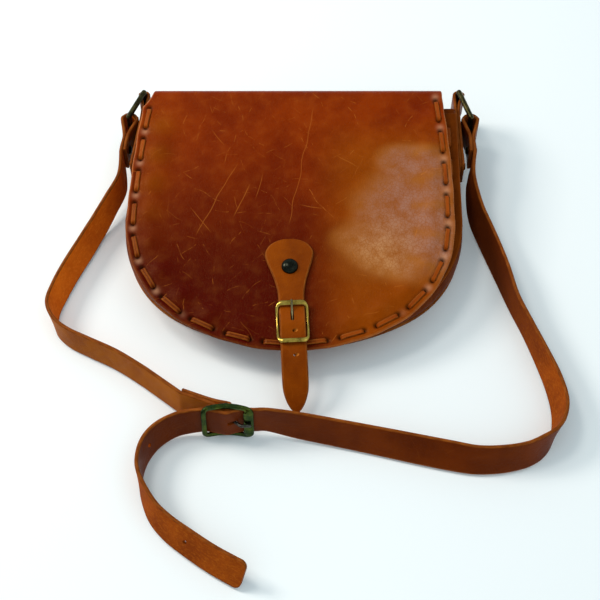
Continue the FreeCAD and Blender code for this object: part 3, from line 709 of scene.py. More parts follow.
def ribbon(name, rows, widths, thickness, materials, shadow_and_darkening=None):
    """Leather band along rows of centre and across; its three materials are for the faces and the edges.

    widths is one width or one for each row. The last argument gives for each row how much it is darkened:
    painted shadow on a strap, a darker tone on a thong.
    """
    widths = widths * np.ones(len(rows))
    centre, across = rows[:, :3], unit(rows[:, 3:6])
    ahead = unit(np.gradient(centre, axis=0))
    across = unit(across - ahead * (across * ahead).sum(axis=1, keepdims=True))
    normal = np.cross(ahead, across)
    along = lengths_along(centre)
    edge = thickness / 2
    rounding = edge_rounding * edge
    strips = max(4, round(np.max(widths) / column_width))
    edge_strips = len(half_turn) - 1
    sides = [(share, 0.0, 1.0) for share in np.linspace(-1, 1, strips + 1)]
    sides += [(1.0, rounding * math.cos(turn), math.sin(turn)) for turn in half_turn[1:-1]]
    sides += [(share, 0.0, -1.0) for share in np.linspace(1, -1, strips + 1)]
    sides += [(-1.0, -rounding * math.cos(turn), -math.sin(turn)) for turn in half_turn[1:-1]]
    slots = [0] * strips + [2] * edge_strips + [1] * strips + [2] * edge_strips
    loop = len(sides)
    points, flat, rims = [], [], []
    for share, outward, through in sides:
        offset = share * (widths / 2 - rounding) + outward
        points.append(centre + across * offset[:, None] + normal * (through * edge))
        flat.append(columns(along, offset, np.full_like(along, through * edge)))
        rims.append(widths / 2 - np.abs(offset))
    attributes = {"flat": columns(*flat).reshape(-1, 3), "edge": columns(*rims).ravel() * MM}
    if shadow_and_darkening is not None:
        attributes["shadow_and_darkening"] = np.repeat(shadow_and_darkening, loop)
    faces = grid_faces(len(rows), loop) + end_faces(len(rows), loop)
    face_slots = slots * (len(rows) - 1) + [2, 2]
    piece = make_piece(name, columns(*points).reshape(-1, 3), faces, materials, face_slots, attributes)
    piece.data.flip_normals()
    return piece


def combine(piece, others, operation):
    """Cuts closed meshes out of a piece or joins them to it, and takes them away."""
    for other in others:
        change = piece.modifiers.new("combined", "BOOLEAN")
        change.operation = operation
        change.solver = "EXACT"
        change.object = other
    shape = bpy.data.meshes.new_from_object(piece.evaluated_get(bpy.context.evaluated_depsgraph_get()))
    piece.modifiers.clear()
    piece.data = shape
    for other in others:
        bpy.data.objects.remove(other)


def cut(piece, cutters):
    combine(piece, cutters, "DIFFERENCE")
    sharpen(piece)


def lathe(name, profile, origin, axis, side_axis, materials):
    """Turned piece from a profile of radius and height."""
    third = np.cross(axis, side_axis)
    points = [origin + axis * profile[0][1]]
    for radius, height in profile[1:]:
        for side in range(lathe_sides):
            turn = 2 * math.pi * side / lathe_sides
            outward = side_axis * math.cos(turn) + third * math.sin(turn)
            points.append(origin + axis * height + outward * radius)
    rings = len(profile) - 1
    faces = [(0, 1 + side, 1 + (side + 1) % lathe_sides) for side in range(lathe_sides)]
    faces += grid_faces(rings, lathe_sides, 1)
    final = 1 + (rings - 1) * lathe_sides
    faces.append(tuple(reversed(range(final, final + lathe_sides))))
    return make_piece(name, np.array(points), faces, materials)


def tube(name, centres, side, up, widths, depths, material, boxy=1.0, closed=False, stretch=0.0):
    """Bar along centres with a rounded section, as wide as widths along side and as deep along up.

    The section is round if boxy is 1 and squarer below that; stretch draws it out along side.
    """
    turns = np.linspace(0, 2 * math.pi, section_sides, endpoint=False)
    cos, sin = np.cos(turns), np.sin(turns)
    across = np.sign(cos) * (np.abs(cos) ** boxy * np.reshape(widths, (-1, 1)) + stretch) / 2
    above = np.sign(sin) * np.abs(sin) ** boxy * np.reshape(depths, (-1, 1)) / 2
    sides = np.broadcast_to(side, centres.shape)[:, None, :]
    points = centres[:, None, :] + sides * across[:, :, None] + up * above[:, :, None]
    rows, loop = points.shape[:2]
    faces = grid_faces(rows, loop, closed=closed, flipped=True)
    if not closed:
        faces += end_faces(rows, loop, True)
    return make_piece(name, points.reshape(-1, 3), faces, [material])


def pin(place, axis, radius, length, stretch=0.0, along=None):
    """Round cutter on an axis, drawn out along a direction if it is a slot."""
    axis = unit(np.array(axis, float))
    helper = Z if abs(axis[2]) < 0.9 else np.array([1.0, 0.0, 0.0])
    first = unit(np.cross(axis, helper)) if along is None else along
    ends = np.array([place - axis * length / 2, place + axis * length / 2])
    # The cutter leaves the dark hole-wall material on the cut walls: painted shade in the holes
    return tube("cutter", ends, first, np.cross(axis, first), 2 * radius, 2 * radius, shaded_hole_wall,
                stretch=stretch)


def shader(name):
    material = bpy.data.materials.new(name)
    material.use_nodes = True
    return material, material.node_tree, material.node_tree.nodes["Principled BSDF"]


def add_node(tree, kind, inputs=None, **settings):
    """New shader node; inputs maps socket names or numbers to values or to other nodes' outputs."""
    made = tree.nodes.new("ShaderNode" + kind)
    for key, value in settings.items():
        setattr(made, key, value)
    for key, value in (inputs or {}).items():
        if isinstance(value, bpy.types.NodeSocket):
            tree.links.new(value, made.inputs[key])
        else:
            made.inputs[key].default_value = value
    return made


def attribute(tree, key, output="Fac"):
    return add_node(tree, "Attribute", attribute_name=key).outputs[output]


def noise(tree, coords, scale, detail=4.0, roughness=0.55):
    inputs = {"Vector": coords, "Scale": scale, "Detail": detail, "Roughness": roughness}
    return add_node(tree, "TexNoise", inputs).outputs["Fac"]


def drawn_out(tree, coords, scales):
    """Coordinates with their own scale along each axis."""
    return add_node(tree, "Mapping", {"Vector": coords, "Scale": scales}).outputs[0]


def cell_edges(tree, coords, scale):
    """Distance from the edges of random cells."""
    cells = add_node(tree, "TexVoronoi", {"Vector": coords, "Scale": scale}, feature="DISTANCE_TO_EDGE")
    return cells.outputs["Distance"]


def remap(tree, value, low, high, to_low=0.0, to_high=1.0):
    inputs = {"Value": value, "From Min": low, "From Max": high, "To Min": to_low, "To Max": to_high}
    return add_node(tree, "MapRange", inputs).outputs["Result"]


def maths(tree, operation, first, second=0.0):
    return add_node(tree, "Math", {0: first, 1: second}, operation=operation).outputs[0]


def times(tree, product, *factors):
    for factor in factors:
        product = maths(tree, "MULTIPLY", product, factor)
    return product


def rgb(screen_colour):
    """Linear colour for a screen colour of 0 to 255."""
    parts = []
    for value in screen_colour:
        share = value / 255
        parts.append(share / 12.92 if share <= 0.04045 else ((share + 0.055) / 1.055) ** 2.4)
    return (*parts, 1.0)


def mixed(tree, share, first, second):
    """Colour between two colours, each of them a screen colour or another node's output."""
    first, second = [rgb(colour) if isinstance(colour, tuple) else colour for colour in (first, second)]
    return add_node(tree, "Mix", {0: share, 6: first, 7: second}, data_type="RGBA").outputs[2]


def thin_line(tree, across, bent, width):
    """1 on a bent line and 0 beside it."""
    away = maths(tree, "ABSOLUTE", maths(tree, "ADD", across, bent))
    return remap(tree, away, width * MM, width * 0.3 * MM)


def scratches(tree, coords, density, width):
    """Short fine scratches, one in each cell of a random pattern, each at its own angle."""
    cells = add_node(tree, "TexVoronoi", {"Vector": coords, "Scale": density}, voronoi_dimensions="2D")
    offset = add_node(tree, "VectorMath", {0: coords, 1: cells.outputs["Position"]}, operation="SUBTRACT")
    parts = add_node(tree, "SeparateColor", {0: cells.outputs["Color"]})
    angle = times(tree, parts.outputs[0], 2 * math.pi)
    spun = add_node(tree, "VectorRotate", {"Vector": offset.outputs[0], "Angle": angle},
                    rotation_type="Z_AXIS")
    axes = add_node(tree, "SeparateXYZ", {0: spun.outputs[0]})
    wave = maths(tree, "SINE", times(tree, axes.outputs[0], scratch_waves))
    thin = thin_line(tree, axes.outputs[1], times(tree, wave, scratch_bend), width)
    kept = maths(tree, "POWER", parts.outputs[1], 2.5)
    broken = remap(tree, noise(tree, coords, scratch_breaks, 2.0), 0.44, 0.6)
    return times(tree, thin, kept, broken)


def scar(tree, coords, start, end, width):
    """One long scratch between two places of the leather."""
    run_u, run_v = end[0] - start[0], end[1] - start[1]
    length = math.hypot(run_u, run_v) * MM
    turned_to = add_node(tree, "Mapping", {
        "Vector": coords, "Location": (start[0] * MM, start[1] * MM, 0.0),
        "Rotation": (0.0, 0.0, math.atan2(run_v, run_u))}, vector_type="TEXTURE")
    axes = add_node(tree, "SeparateXYZ", {0: turned_to.outputs[0]})
    bow = times(tree, noise(tree, coords, scar_waves, 1.0), scar_bend)
    thin = thin_line(tree, axes.outputs[1], bow, width)
    begun = remap(tree, axes.outputs[0], 0.0, scar_fade)
    ended = remap(tree, axes.outputs[0], length, length - scar_fade)
    return times(tree, thin, begun, ended)


def dress(tree, bsdf, colour, roughness, bumps, levels):
    """Joins colour, roughness and bumps to a surface and sets its other levels.

    Each bump is a value, its depth in millimetres and its strength.
    """
    tree.links.new(colour, bsdf.inputs["Base Color"])
    tree.links.new(roughness, bsdf.inputs["Roughness"])
    for key, level in levels.items():
        bsdf.inputs[key].default_value = level
    normal = None
    for value, depth, strength in bumps:
        inputs = {"Height": value, "Distance": depth * MM, "Strength": strength}
        if normal is not None:
            inputs["Normal"] = normal
        normal = add_node(tree, "Bump", inputs).outputs["Normal"]
    tree.links.new(normal, bsdf.inputs["Normal"])


# Textures, in features to the metre; lengths here are in metres
broad_mottle = 24.0
cloud_mottle = 95.0
fine_mottle = 620.0
pore_density = 820.0
crease_density = 380.0
crease_warp_density = 260.0
crease_warp = 0.0035
worn_rim = (0.0016, 0.0004)
scratch_waves = 300.0
scratch_bend = 0.0007
scratch_breaks = 180.0
scar_waves = 35.0
scar_bend = 0.006
scar_fade = 0.006
grain_tint = (1.0, 0.55, 0.16, 1.0)
flesh_mottle = 40.0
flesh_fibres = (260.0, 700.0, 700.0)
flesh_specks = 720.0
edge_mottle = 120.0
edge_fibres = (160.0, 900.0, 2400.0)
tarnish_patches = 150.0
metal_pits = 1500.0

# Kinds of scratches: how many to the metre, and their width in millimetres
scratch_kinds = [(95.0, 0.3), (44.0, 0.34)]
metal_scratches = (300.0, 0.08)

# Colours of the flap's patches: a darker patch, and the painted sheen, highlights and hole shade
shade_colour = (72, 0, 0)
gold_highlight_colour = (148, 74, 2)
sheen_border_colour = (178, 112, 46)
sheen_colour = (160, 110, 92)
peach_sheen_colour = (190, 132, 84)
lip_highlight_colour = (212, 152, 116)
hole_shade_colour = (26, 6, 2)

# Long scratches on the flap, from one place across and along it to another, and their width
scar_strength = 0.7
flap_scars = [
    ((19.0, -12.0), (-1.0, -118.0), 0.35),
    ((-42.0, -64.0), (-72.0, -128.0), 0.4),
    ((-31.0, -82.0), (-44.0, -112.0), 0.55),
    ((-22.0, -72.0), (-26.0, -96.0), 0.35),
    ((-78.0, -100.0), (-60.0, -122.0), 0.35),
    ((-64.0, -30.0), (-52.0, -46.0), 0.4),
    ((34.0, -52.0), (52.0, -64.0), 0.35),
    ((4.0, -96.0), (24.0, -100.0), 0.35),
]


def grain_leather(name, dark, main, light, rim, shine=0.36, scars=0.5, sheen=0.16, patches=False,
                  deep=None):
    """Waxed full-grain leather with mottling, pores, fine creases, scratches and worn edges; with patches,
    also the flap's darker patch, golden tone and painted light: sheen, highlights and shade in the holes.
    """
    material, tree, bsdf = shader(name)
    coords = attribute(tree, "flat", "Vector")
    broad = noise(tree, coords, broad_mottle, 5.0, 0.6)
    cloudy = noise(tree, coords, cloud_mottle, 4.0, 0.6)
    fine = noise(tree, coords, fine_mottle, 5.0, 0.65)
    pores = cell_edges(tree, coords, pore_density)
    warp = add_node(tree, "TexNoise", {"Vector": coords, "Scale": crease_warp_density}).outputs["Color"]
    shift = add_node(tree, "VectorMath", {0: warp, 3: crease_warp}, operation="SCALE").outputs[0]
    crazed = add_node(tree, "VectorMath", {0: coords, 1: shift}, operation="ADD").outputs[0]
    creases = cell_edges(tree, crazed, crease_density)
    lines = maths(tree, "MAXIMUM", *[scratches(tree, coords, *kind) for kind in scratch_kinds])
    worn = times(tree, remap(tree, attribute(tree, "edge"), *worn_rim),
                 remap(tree, cloudy, 0.3, 0.55, 0.45, 1.0))
    colour = mixed(tree, remap(tree, broad, 0.36, 0.62), dark, main)
    # The flap's darker patch, and its golden tone with painted highlights
    if patches:
        colour = mixed(tree, attribute(tree, "shade"), colour, shade_colour)
        colour = mixed(tree, attribute(tree, "glow"), colour, gold_highlight_colour)
    colour = mixed(tree, remap(tree, cloudy, 0.5, 0.8, 0.0, 0.08), colour, light)
    colour = mixed(tree, remap(tree, fine, 0.54, 0.8, 0.0, 0.4), colour, dark)
    # Painted sheen on the flap's right side: a pale reflection with a golden border and a peach tint lower
    # down
    if patches:
        haze = times(tree, attribute(tree, "haze"), remap(tree, cloudy, 0.34, 0.62, 0.35, 1.0),
                     remap(tree, creases, 0.0, 0.12, 0.45, 1.0))
        sheen_tint = mixed(tree, attribute(tree, "peach"), sheen_colour, peach_sheen_colour)
        colour = mixed(tree, attribute(tree, "border"), colour, sheen_border_colour)
        colour = mixed(tree, haze, colour, sheen_tint)
        # Pale painted highlights at the stitch ends
        colour = mixed(tree, attribute(tree, "lip"), colour, lip_highlight_colour)
        # Painted shade in the lacing holes
        colour = mixed(tree, attribute(tree, "hole"), colour, hole_shade_colour)
        for start, end, width in flap_scars:
            long_line = times(tree, scar(tree, coords, start, end, width), scar_strength)
            lines = maths(tree, "MAXIMUM", lines, long_line)
        worn = times(tree, worn, remap(tree, attribute(tree, "shade"), 0.0, 1.0, 1.0, 0.25))
    colour = mixed(tree, times(tree, lines, scars), colour, light)
    # The thong is darker where the flap is darker
    if deep is not None:
        colour = mixed(tree, attribute(tree, "shadow_and_darkening"), colour, deep)
    colour = mixed(tree, worn, colour, rim)
    gloss = remap(tree, cloudy, 0.3, 0.75, shine - 0.08, shine + 0.14)
    bumps = [(broad, 1.2, 0.35), (cloudy, 0.5, 0.4), (remap(tree, pores, 0.0, 0.25), 0.12, 0.6),
             (remap(tree, creases, 0.0, 0.08), 0.14, 0.5), (fine, 0.16, 0.6)]
    dress(tree, bsdf, colour, maths(tree, "ADD", gloss, times(tree, lines, 0.2)), bumps,
          {"Specular IOR Level": sheen, "Specular Tint": grain_tint})
    return material


def flesh_leather(name, dark, main, light, deep):
    """Rough flesh side of leather with short fibres and specks, darker where painted shadow is laid on it.
    """
    material, tree, bsdf = shader(name)
    coords = attribute(tree, "flat", "Vector")
    broad = noise(tree, coords, flesh_mottle)
    fibres = noise(tree, drawn_out(tree, coords, flesh_fibres), 1.0, 4.0, 0.7)
    specks = noise(tree, coords, flesh_specks, 3.0, 0.7)
    colour = mixed(tree, remap(tree, broad, 0.35, 0.68), dark, main)
    colour = mixed(tree, remap(tree, fibres, 0.48, 0.7, 0.0, 0.55), colour, light)
    colour = mixed(tree, remap(tree, specks, 0.5, 0.68, 0.0, 0.75), colour, dark)
    # Painted shadow: darker where the bag's shadow falls across the strap
    colour = mixed(tree, attribute(tree, "shadow_and_darkening"), colour, deep)
    dress(tree, bsdf, colour, remap(tree, fibres, 0.3, 0.7, 0.72, 0.95),
          [(broad, 0.8, 0.3), (fibres, 0.35, 0.7), (specks, 0.15, 0.6)], {"Specular IOR Level": 0.06})
    return material


def edge_leather(name, dark, light):
    """Cut edge of leather, burnished and fibrous."""
    material, tree, bsdf = shader(name)
    coords = attribute(tree, "flat", "Vector")
    fibres = noise(tree, drawn_out(tree, coords, edge_fibres), 1.0, 4.0, 0.65)
    broad = noise(tree, coords, edge_mottle, 3.0)
    colour = mixed(tree, remap(tree, fibres, 0.35, 0.7), dark, light)
    colour = mixed(tree, remap(tree, broad, 0.4, 0.7, 0.0, 0.5), colour, dark)
    dress(tree, bsdf, colour, remap(tree, broad, 0.3, 0.7, 0.55, 0.8), [(fibres, 0.2, 0.6)],
          {"Specular IOR Level": 0.08})
    return material


def worn_metal(name, dark, main, light, rough, tarnish):
    """Cast metal with tarnish in patches, fine scratches and small pits."""
    material, tree, bsdf = shader(name)
    coords = add_node(tree, "TexCoord").outputs["Object"]
    patches = noise(tree, coords, tarnish_patches)
    fine = noise(tree, coords, metal_pits, 3.0)
    rubbed = scratches(tree, coords, *metal_scratches)
    colour = mixed(tree, remap(tree, patches, 0.5 - tarnish, 0.72 - tarnish / 2), dark, main)
    colour = mixed(tree, remap(tree, fine, 0.5, 0.75, 0.0, 0.28), colour, light)
    roughness = maths(tree, "ADD", remap(tree, patches, 0.3, 0.7, rough + 0.14, rough - 0.04),
                      times(tree, rubbed, 0.15))
    dress(tree, bsdf, colour, roughness, [(patches, 0.12, 0.4), (fine, 0.03, 0.3)], {"Metallic": 1.0})
    return material


# Screen colours from dark to light, then the worn rim, or for flesh the darker colour laid under painted
# shadow
flap_grain = grain_leather(
    "flap_grain", (112, 28, 0), (134, 43, 0), (196, 112, 40), (178, 98, 42),
    shine=0.3, sheen=0.11, patches=True)
bridge_grain = grain_leather(
    "bridge_grain", (116, 30, 0), (138, 45, 0), (180, 96, 30), (190, 110, 56))
body_grain = grain_leather(
    "body_grain", (92, 34, 2), (120, 52, 4), (150, 76, 18), (128, 60, 10), shine=0.5, sheen=0.06)
strap_grain = grain_leather(
    "strap_grain", (82, 22, 0), (104, 36, 0), (146, 72, 18), (150, 76, 20), shine=0.42, scars=0.35)
# Brighter copy of the strap's grain: painted light for the lit left strap
lit_left_grain = grain_leather(
    "lit_left_grain", (132, 62, 2), (164, 88, 6), (190, 110, 26), (176, 98, 24),
    shine=0.5, scars=0.35, sheen=0.08)
billet_grain = grain_leather(
    "billet_grain", (112, 42, 0), (138, 59, 0), (164, 90, 20), (176, 98, 30), shine=0.42, scars=0.3)
thong_grain = grain_leather(
    "thong_grain", (126, 44, 2), (166, 72, 8), (200, 108, 34), (150, 66, 12),
    shine=0.34, scars=0.15, sheen=0.26, deep=(70, 10, 0))
strap_flesh = flesh_leather("strap_flesh", (124, 50, 2), (156, 70, 6), (186, 100, 26), (66, 20, 0))
body_flesh = flesh_leather("body_flesh", (112, 54, 14), (150, 84, 30), (182, 118, 58), (66, 20, 0))
# Brighter copy of the strap's flesh: painted light for the lit left strap
lit_left_flesh = flesh_leather("lit_left_flesh", (194, 82, 4), (224, 106, 12), (240, 138, 42), (110, 40, 0))
cut_edge = edge_leather("cut_edge", (100, 42, 4), (162, 86, 22))
# Darker copy of the cut edge for the walls of cut holes: painted shade in the holes
shaded_hole_wall = edge_leather("shaded_hole_wall", (30, 10, 4), (76, 32, 10))

# Screen colours from dark to light, then roughness and tarnish
brass = worn_metal("brass_worn", (112, 88, 30), (196, 164, 72), (240, 220, 140), 0.2, 0.16)
steel = worn_metal("prong_steel", (96, 84, 56), (156, 140, 100), (210, 200, 168), 0.24, 0.1)
green_brass = worn_metal("brass_green", (34, 54, 26), (72, 84, 28), (150, 150, 76), 0.15, 0.05)
dark_steel = worn_metal("prong_dark", (38, 36, 32), (88, 84, 76), (180, 176, 168), 0.18, 0.1)
antique = worn_metal("brass_antique", (40, 36, 20), (92, 82, 46), (160, 146, 92), 0.3, 0.04)
stud_gloss = worn_metal("stud_gloss", (20, 21, 17), (38, 40, 33), (76, 78, 68), 0.18, 0.1)

# Patches of painted sheen on the flap: place across and along it, and half sizes
sheen_patches = [
    (93.0, -62.0, 22.0, 13.0),
    (88.0, -100.0, 31.0, 25.0),
    (78.0, -134.0, 34.0, 24.0),
    (107.0, -126.0, 15.0, 30.0),
    (112.0, -76.0, 8.0, 12.0),
]


def flap_tones(flat):
    """Where the flap is darkened or golden, where a painted sheen and painted highlights lie on it, and
    where painted shade darkens its holes.
    """
    u, v = flat[:, 0], flat[:, 1]
    haze = np.zeros(len(flat))
    border = np.zeros(len(flat))
    wobble = 1 + 0.1 * np.sin(u / 7.5 + 2 * np.sin(v / 13)) + 0.07 * np.sin(v / 5.3 + u / 9)
    # Painted sheen in patches, with a golden border round them
    for place_u, place_v, half_u, half_v in sheen_patches:
        away = wobble * (((u - place_u) / half_u) ** 2 + ((v - place_v) / half_v) ** 2)
        haze = haze + (1 - haze) * (1 - step_up(away, *sheen_fade))
        border = np.maximum(border, 1 - step_up(away, *sheen_border_fade))
    # Painted fold shade: the painted sheen is dimmed along a fold from each right-hand stitch inward
    valley_ends = flap_stitches + flap_inward * valley_length
    from_valley = segment_distance(flat, flap_stitches[valley_first_stitch:],
                                   valley_ends[valley_first_stitch:])
    haze = haze * (1 - fold_shade_strength * np.exp(-(from_valley / valley_half_width) ** 2))
    # Golden tone to the right, and painted highlights inside the first stitches on the left
    right = step_up(u, *right_gold_across) * step_up(-v, *right_gold_down)
    left_places = (flap_stitches + flap_inward * left_highlight_inset)[:left_highlight_stitches]
    left = near(flat, left_places, left_highlight_radius) * step_up(v, *left_highlight_up)
    # Pale painted highlights just past the end hole of each stitch
    lip_highlights = near(flat, flap_ends + flap_runs * lip_highlight_shift, lip_highlight_radius)
    return {
        "shade": step_up(-v, *shade_down) * (1 - shade_fade * step_up(u, *shade_across)),
        "haze": sheen_strength * haze,
        "border": sheen_border_strength * np.maximum(border - haze, 0),
        "peach": step_up(-v, *peach_sheen_down) * (1 - step_up(u, *peach_sheen_across)),
        "lip": lip_highlight * lip_highlights * step_up(np.abs(u), *lip_highlight_across),
        "glow": np.maximum.reduce([sheen_border_highlight * border, right_gold * right, left_highlight * left]),
        # Painted shade in the lacing holes
        "hole": near(flat, flap_hole_places, hole_shade_radius),
    }


def flap_sunk(flat):
    """The upper face gives way at the holes and under the thong, and stands up beside it."""
    away = segment_distance(flat, flap_starts, flap_ends)
    groove = np.exp(-(away / groove_half_width) ** 4)
    lip = np.exp(-((away - lip_away) / lip_width) ** 2)
    return hole_depth * near(flat, flap_hole_places, hole_radius) + groove_depth * groove - lip_height * lip


def build_flap():
    path = turned(flap_path(0, flap_side_over), flap_lean)
    middle = len(path) // 2
    left = path[:middle][path[:middle, 1] < -corner_cut]
    right = path[middle:][path[middle:, 1] < 0]
    corner = smooth_route([(fold_left, fold_length), (fold_left - 0.2, 6.0), (fold_left - 1.8, 0.0),
                           (fold_left - 5.0, -6.0), (fold_left - corner_run, -corner_cut)])
    outline = closed_outline(np.vstack([[[fold_right, fold_length]], corner, left, right,
                                        [[fold_right, 0.0]]]))
    drawn_in = near(outline, flap_stitches, edge_draw_radius) * step_up(-outline[:, 1], *edge_draw_down)
    outline = outline + unit(flap_centre - outline) * (edge_draw * drawn_in)[:, None]
    square = outline[:, 1] > fold_length - end_slack
    piece = sheet("flap", outline, flap_centre, fold_inner, fold_outer, flap_place,
                  [flap_grain, body_flesh], sunk=flap_sunk, square=square, tones=flap_tones)
    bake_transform(piece)
    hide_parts("flap_panel", "front_fold")


def build_bridge():
    length = bridge_length + back_fold_length
    outline = closed_outline(np.array([[fold_left, 0.0], [fold_right, 0.0], [fold_right, length],
                                       [fold_left, length]]))
    square = (outline[:, 1] < end_slack) | (outline[:, 1] > length - end_slack)
    centre = np.array([(fold_left + fold_right) / 2, length / 2])
    piece = sheet("flap_top", outline, centre, fold_inner, fold_outer, bridge_place,
                  [bridge_grain, body_flesh], square=square)
    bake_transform(piece)
    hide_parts("flap_bridge", "back_fold")


def back_grooves(flat):
    """The back panel's outer face gives way under the thong, so that the bag lies flat."""
    return back_groove_depth * (segment_distance(flat, body_holes[0::2], body_holes[1::2])
                                < back_groove_half_width)


def front_sunk(flat):
    return front_hole_depth * near(flat, body_holes, front_hole_radius)


def build_panels():
    outline = closed_outline(body_path(0, body_top))
    square = outline[:, 1] > body_top - end_slack
    back = sheet("back_sheet", outline, body_centre, 0.0, panel_leather, floor_place,
                 [body_flesh, body_grain], grooved=back_grooves, square=square)
    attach(back, "bag")
    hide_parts("back_panel")
    front = sheet("front_sheet", closed_outline(body_path(0, front_top)), body_centre, front_low,
                  front_high, front_place, [body_grain, body_flesh], sunk=front_sunk)
    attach(front, "bag")
    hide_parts("front_panel")


def build_gusset():
    """Band round the sides and bottom with a flange laced to each panel."""
    half = gusset_leather / 2
    path = resample(body_path(half, gusset_top), gusset_step, 2)
    ahead = unit(np.gradient(path, axis=0))
    outward = columns(ahead[:, 1], -ahead[:, 0])
    high = front_place(path, front_low)[:, 2] - half
    low = np.full_like(high, panel_leather + half)
    slope = -math.tan(flap_tilt) * outward[:, 1]
    swell = gusset_swell * step_up(-path[:, 1], *gusset_swell_down)
    reach = flange_width - half
    ones = np.ones(len(path))
    insets = [reach, reach * flange_middle, gusset_bend]
    low_bend, high_bend = low + gusset_bend, high - gusset_bend

    def bend(level, turns):
        return [(gusset_bend * (math.cos(turn) - 1) * ones, level + gusset_bend * math.sin(turn))
                for turn in turns]

    def in_space(out, up):
        return np.dstack([outward[:, :1] * out, outward[:, 1:] * out, up])

    profile = [(-inset * ones, low) for inset in insets] + bend(low_bend, -bend_turns[::-1])
    for share in gusset_wall_shares:
        profile.append((swell * math.sin(math.pi * share), low_bend + (high_bend - low_bend) * share))
    profile += bend(high_bend, bend_turns)
    profile += [(-inset * ones, high + slope * inset) for inset in reversed(insets)]
    offsets = columns(*[columns(out, up) for out, up in profile])
    run = unit(np.gradient(offsets, axis=1))
    middle = in_space(offsets[:, :, 0], offsets[:, :, 1])
    middle[:, :, :2] += path[:, None, :]
    normal = in_space(run[:, :, 1], -run[:, :, 0])
    loops = np.concatenate([middle + normal * half, (middle - normal * half)[:, ::-1]], axis=1)
    rows, loop = loops.shape[:2]
    count = len(profile)
    faces = grid_faces(rows, loop)
    face_slots = [1 if count <= side < loop - 1 else 0 for side in range(loop)] * (rows - 1)
    final = (rows - 1) * loop
    for side in range(count - 1):
        ends = (side, side + 1, loop - 2 - side, loop - 1 - side)
        faces += [ends, tuple(final + corner for corner in reversed(ends))]
        face_slots += [0, 0]
    across = lengths_along(offsets[rows // 2])
    flat = columns(np.repeat(lengths_along(path), loop), np.tile([*across, *across[::-1]], rows),
                   np.zeros(rows * loop))
    piece = make_piece("gusset_band", loops.reshape(-1, 3), faces, [body_grain, body_flesh], face_slots,
                       {"flat": flat, "edge": np.full(rows * loop, gusset_edge * MM)})
    piece.data.flip_normals()
    sharpen(piece)
    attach(piece, "bag")
    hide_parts("gusset")


def build_lacing(name, node, holes, place, outer, inner, way, body, settled=0.0, width=thong_width,
                 tones=None):
    """One flat thong through all the holes: stitches outside, short runs inside."""
    half = thong_thickness / 2
    outer_line = outer + way * (half - settled)
    inner_line = inner - way * half
    stitch_stops = [(0.0, (outer + inner) / 2), (stitch_dive, outer_line - way * stitch_dip),
                    (stitch_shoulder, outer_line)]
    stations = []

    def add(start, end, stops, middle_levels=()):
        """Stops on a run from hole to hole: each is a distance from either end, and its level."""
        run = unit(end - start)
        places = [(start + run * away, level) for away, level in stops]
        places += [((start + end) / 2, level) for level in middle_levels]
        places += [(end - run * away, level) for away, level in reversed(stops)]
        stations.extend((*place_on, level, -run[1], run[0]) for place_on, level in places)

    for index in range(0, len(holes), 2):
        add(holes[index], holes[index + 1], stitch_stops, [outer_line + way * stitch_bow])
        if index + 2 < len(holes):
            add(holes[index + 1], holes[index + 2], [(stitch_dive, inner_line)])
    rows = smooth_route(stations)
    centre = place(rows[:, :2], rows[:, 2])
    beside = place(rows[:, :2] + rows[:, 3:5] * 0.5, rows[:, 2])
    rows = resample(np.hstack([centre, beside - centre, rows[:, :2]]), thong_step)
    # The flap's thong is darker where the flap is darker
    shadow_and_darkening = None if tones is None else thong_shade * tones(rows[:, 6:])["shade"]
    piece = ribbon(name, rows[:, :6], width, thong_thickness,
                   [thong_grain, thong_grain, cut_edge], shadow_and_darkening=shadow_and_darkening)
    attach(piece, body)
    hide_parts(node)


def closure_point(x, y, height):
    """Point of the closing strap's frame on the flap."""
    flat = turned(np.array([[x, y]], float), closure_lean)[0] + (closure_x, closure_y)
    return on_flap_plane(flat[0], flat[1], height)


closure_side = unit(closure_point(1, 0, 0) - closure_point(0, 0, 0))
closure_up = unit(closure_point(0, 0, 1) - closure_point(0, 0, 0))
closure_down = unit(closure_point(0, -1, 0) - closure_point(0, 0, 0))


def build_closing_strap():
    stations = smooth_route(billet_stations)
    rows = np.array([(*closure_point(0, -down, billet_rest - drop), *closure_side, width)
                     for down, width, drop in stations])
    rows = resample(rows, billet_step)
    piece = ribbon("closing_strap_leather", rows[:, :6], rows[:, 6], billet_leather,
                   [billet_grain, strap_flesh, cut_edge])
    cutters = [pin(closure_point(0, -stud_drop, billet_rest), closure_up, stud_hole_radius, billet_cut)]
    hole_axis = unit(closure_up + closure_side * billet_hole_slant)
    for down in billet_holes:
        drop = np.interp(down, stations[:, 0], stations[:, 2])
        place = closure_point(0, -down, billet_rest - drop)
        cutters.append(pin(place, hole_axis, billet_hole_radius, billet_cut))
    cutters.append(pin(closure_point(0, -billet_slot_at, billet_rest), closure_up, billet_slot_radius,
                       slot_cut, billet_slot_stretch, closure_down))
    cut(piece, cutters)
    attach(piece, "flap")
    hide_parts("closing_strap")


def build_stud_cap():
    base = billet_base + billet_leather
    profile = [(0, stud_height)]
    for turn in dome_turns:
        profile.append((stud_radius * math.cos(turn), stud_height * math.sin(turn)))
    profile += [(stud_radius, stud_rim_height), (stud_radius - stud_rim_step, 0.0),
                (stud_stem_radius, 0.0), (stud_stem_radius, fold_inner - base)]
    piece = lathe("stud_dome", profile, closure_point(0, -stud_drop, base), closure_up, closure_side,
                  [stud_gloss])
    sharpen(piece)
    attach(piece, "flap")
    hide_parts("stud_cap")


def ring_bar(side):
    """Middle of the tab's loop on a side of the bag, and of the ring's far bar."""
    loop = ring_wire + ring_slack + tab_leather
    centre = np.array([side * (body_half_width + loop), tab_loop_y, tab_z])
    return centre, centre + np.array([side * math.sin(ring_lean), -math.cos(ring_lean), 0.0]) * ring_reach


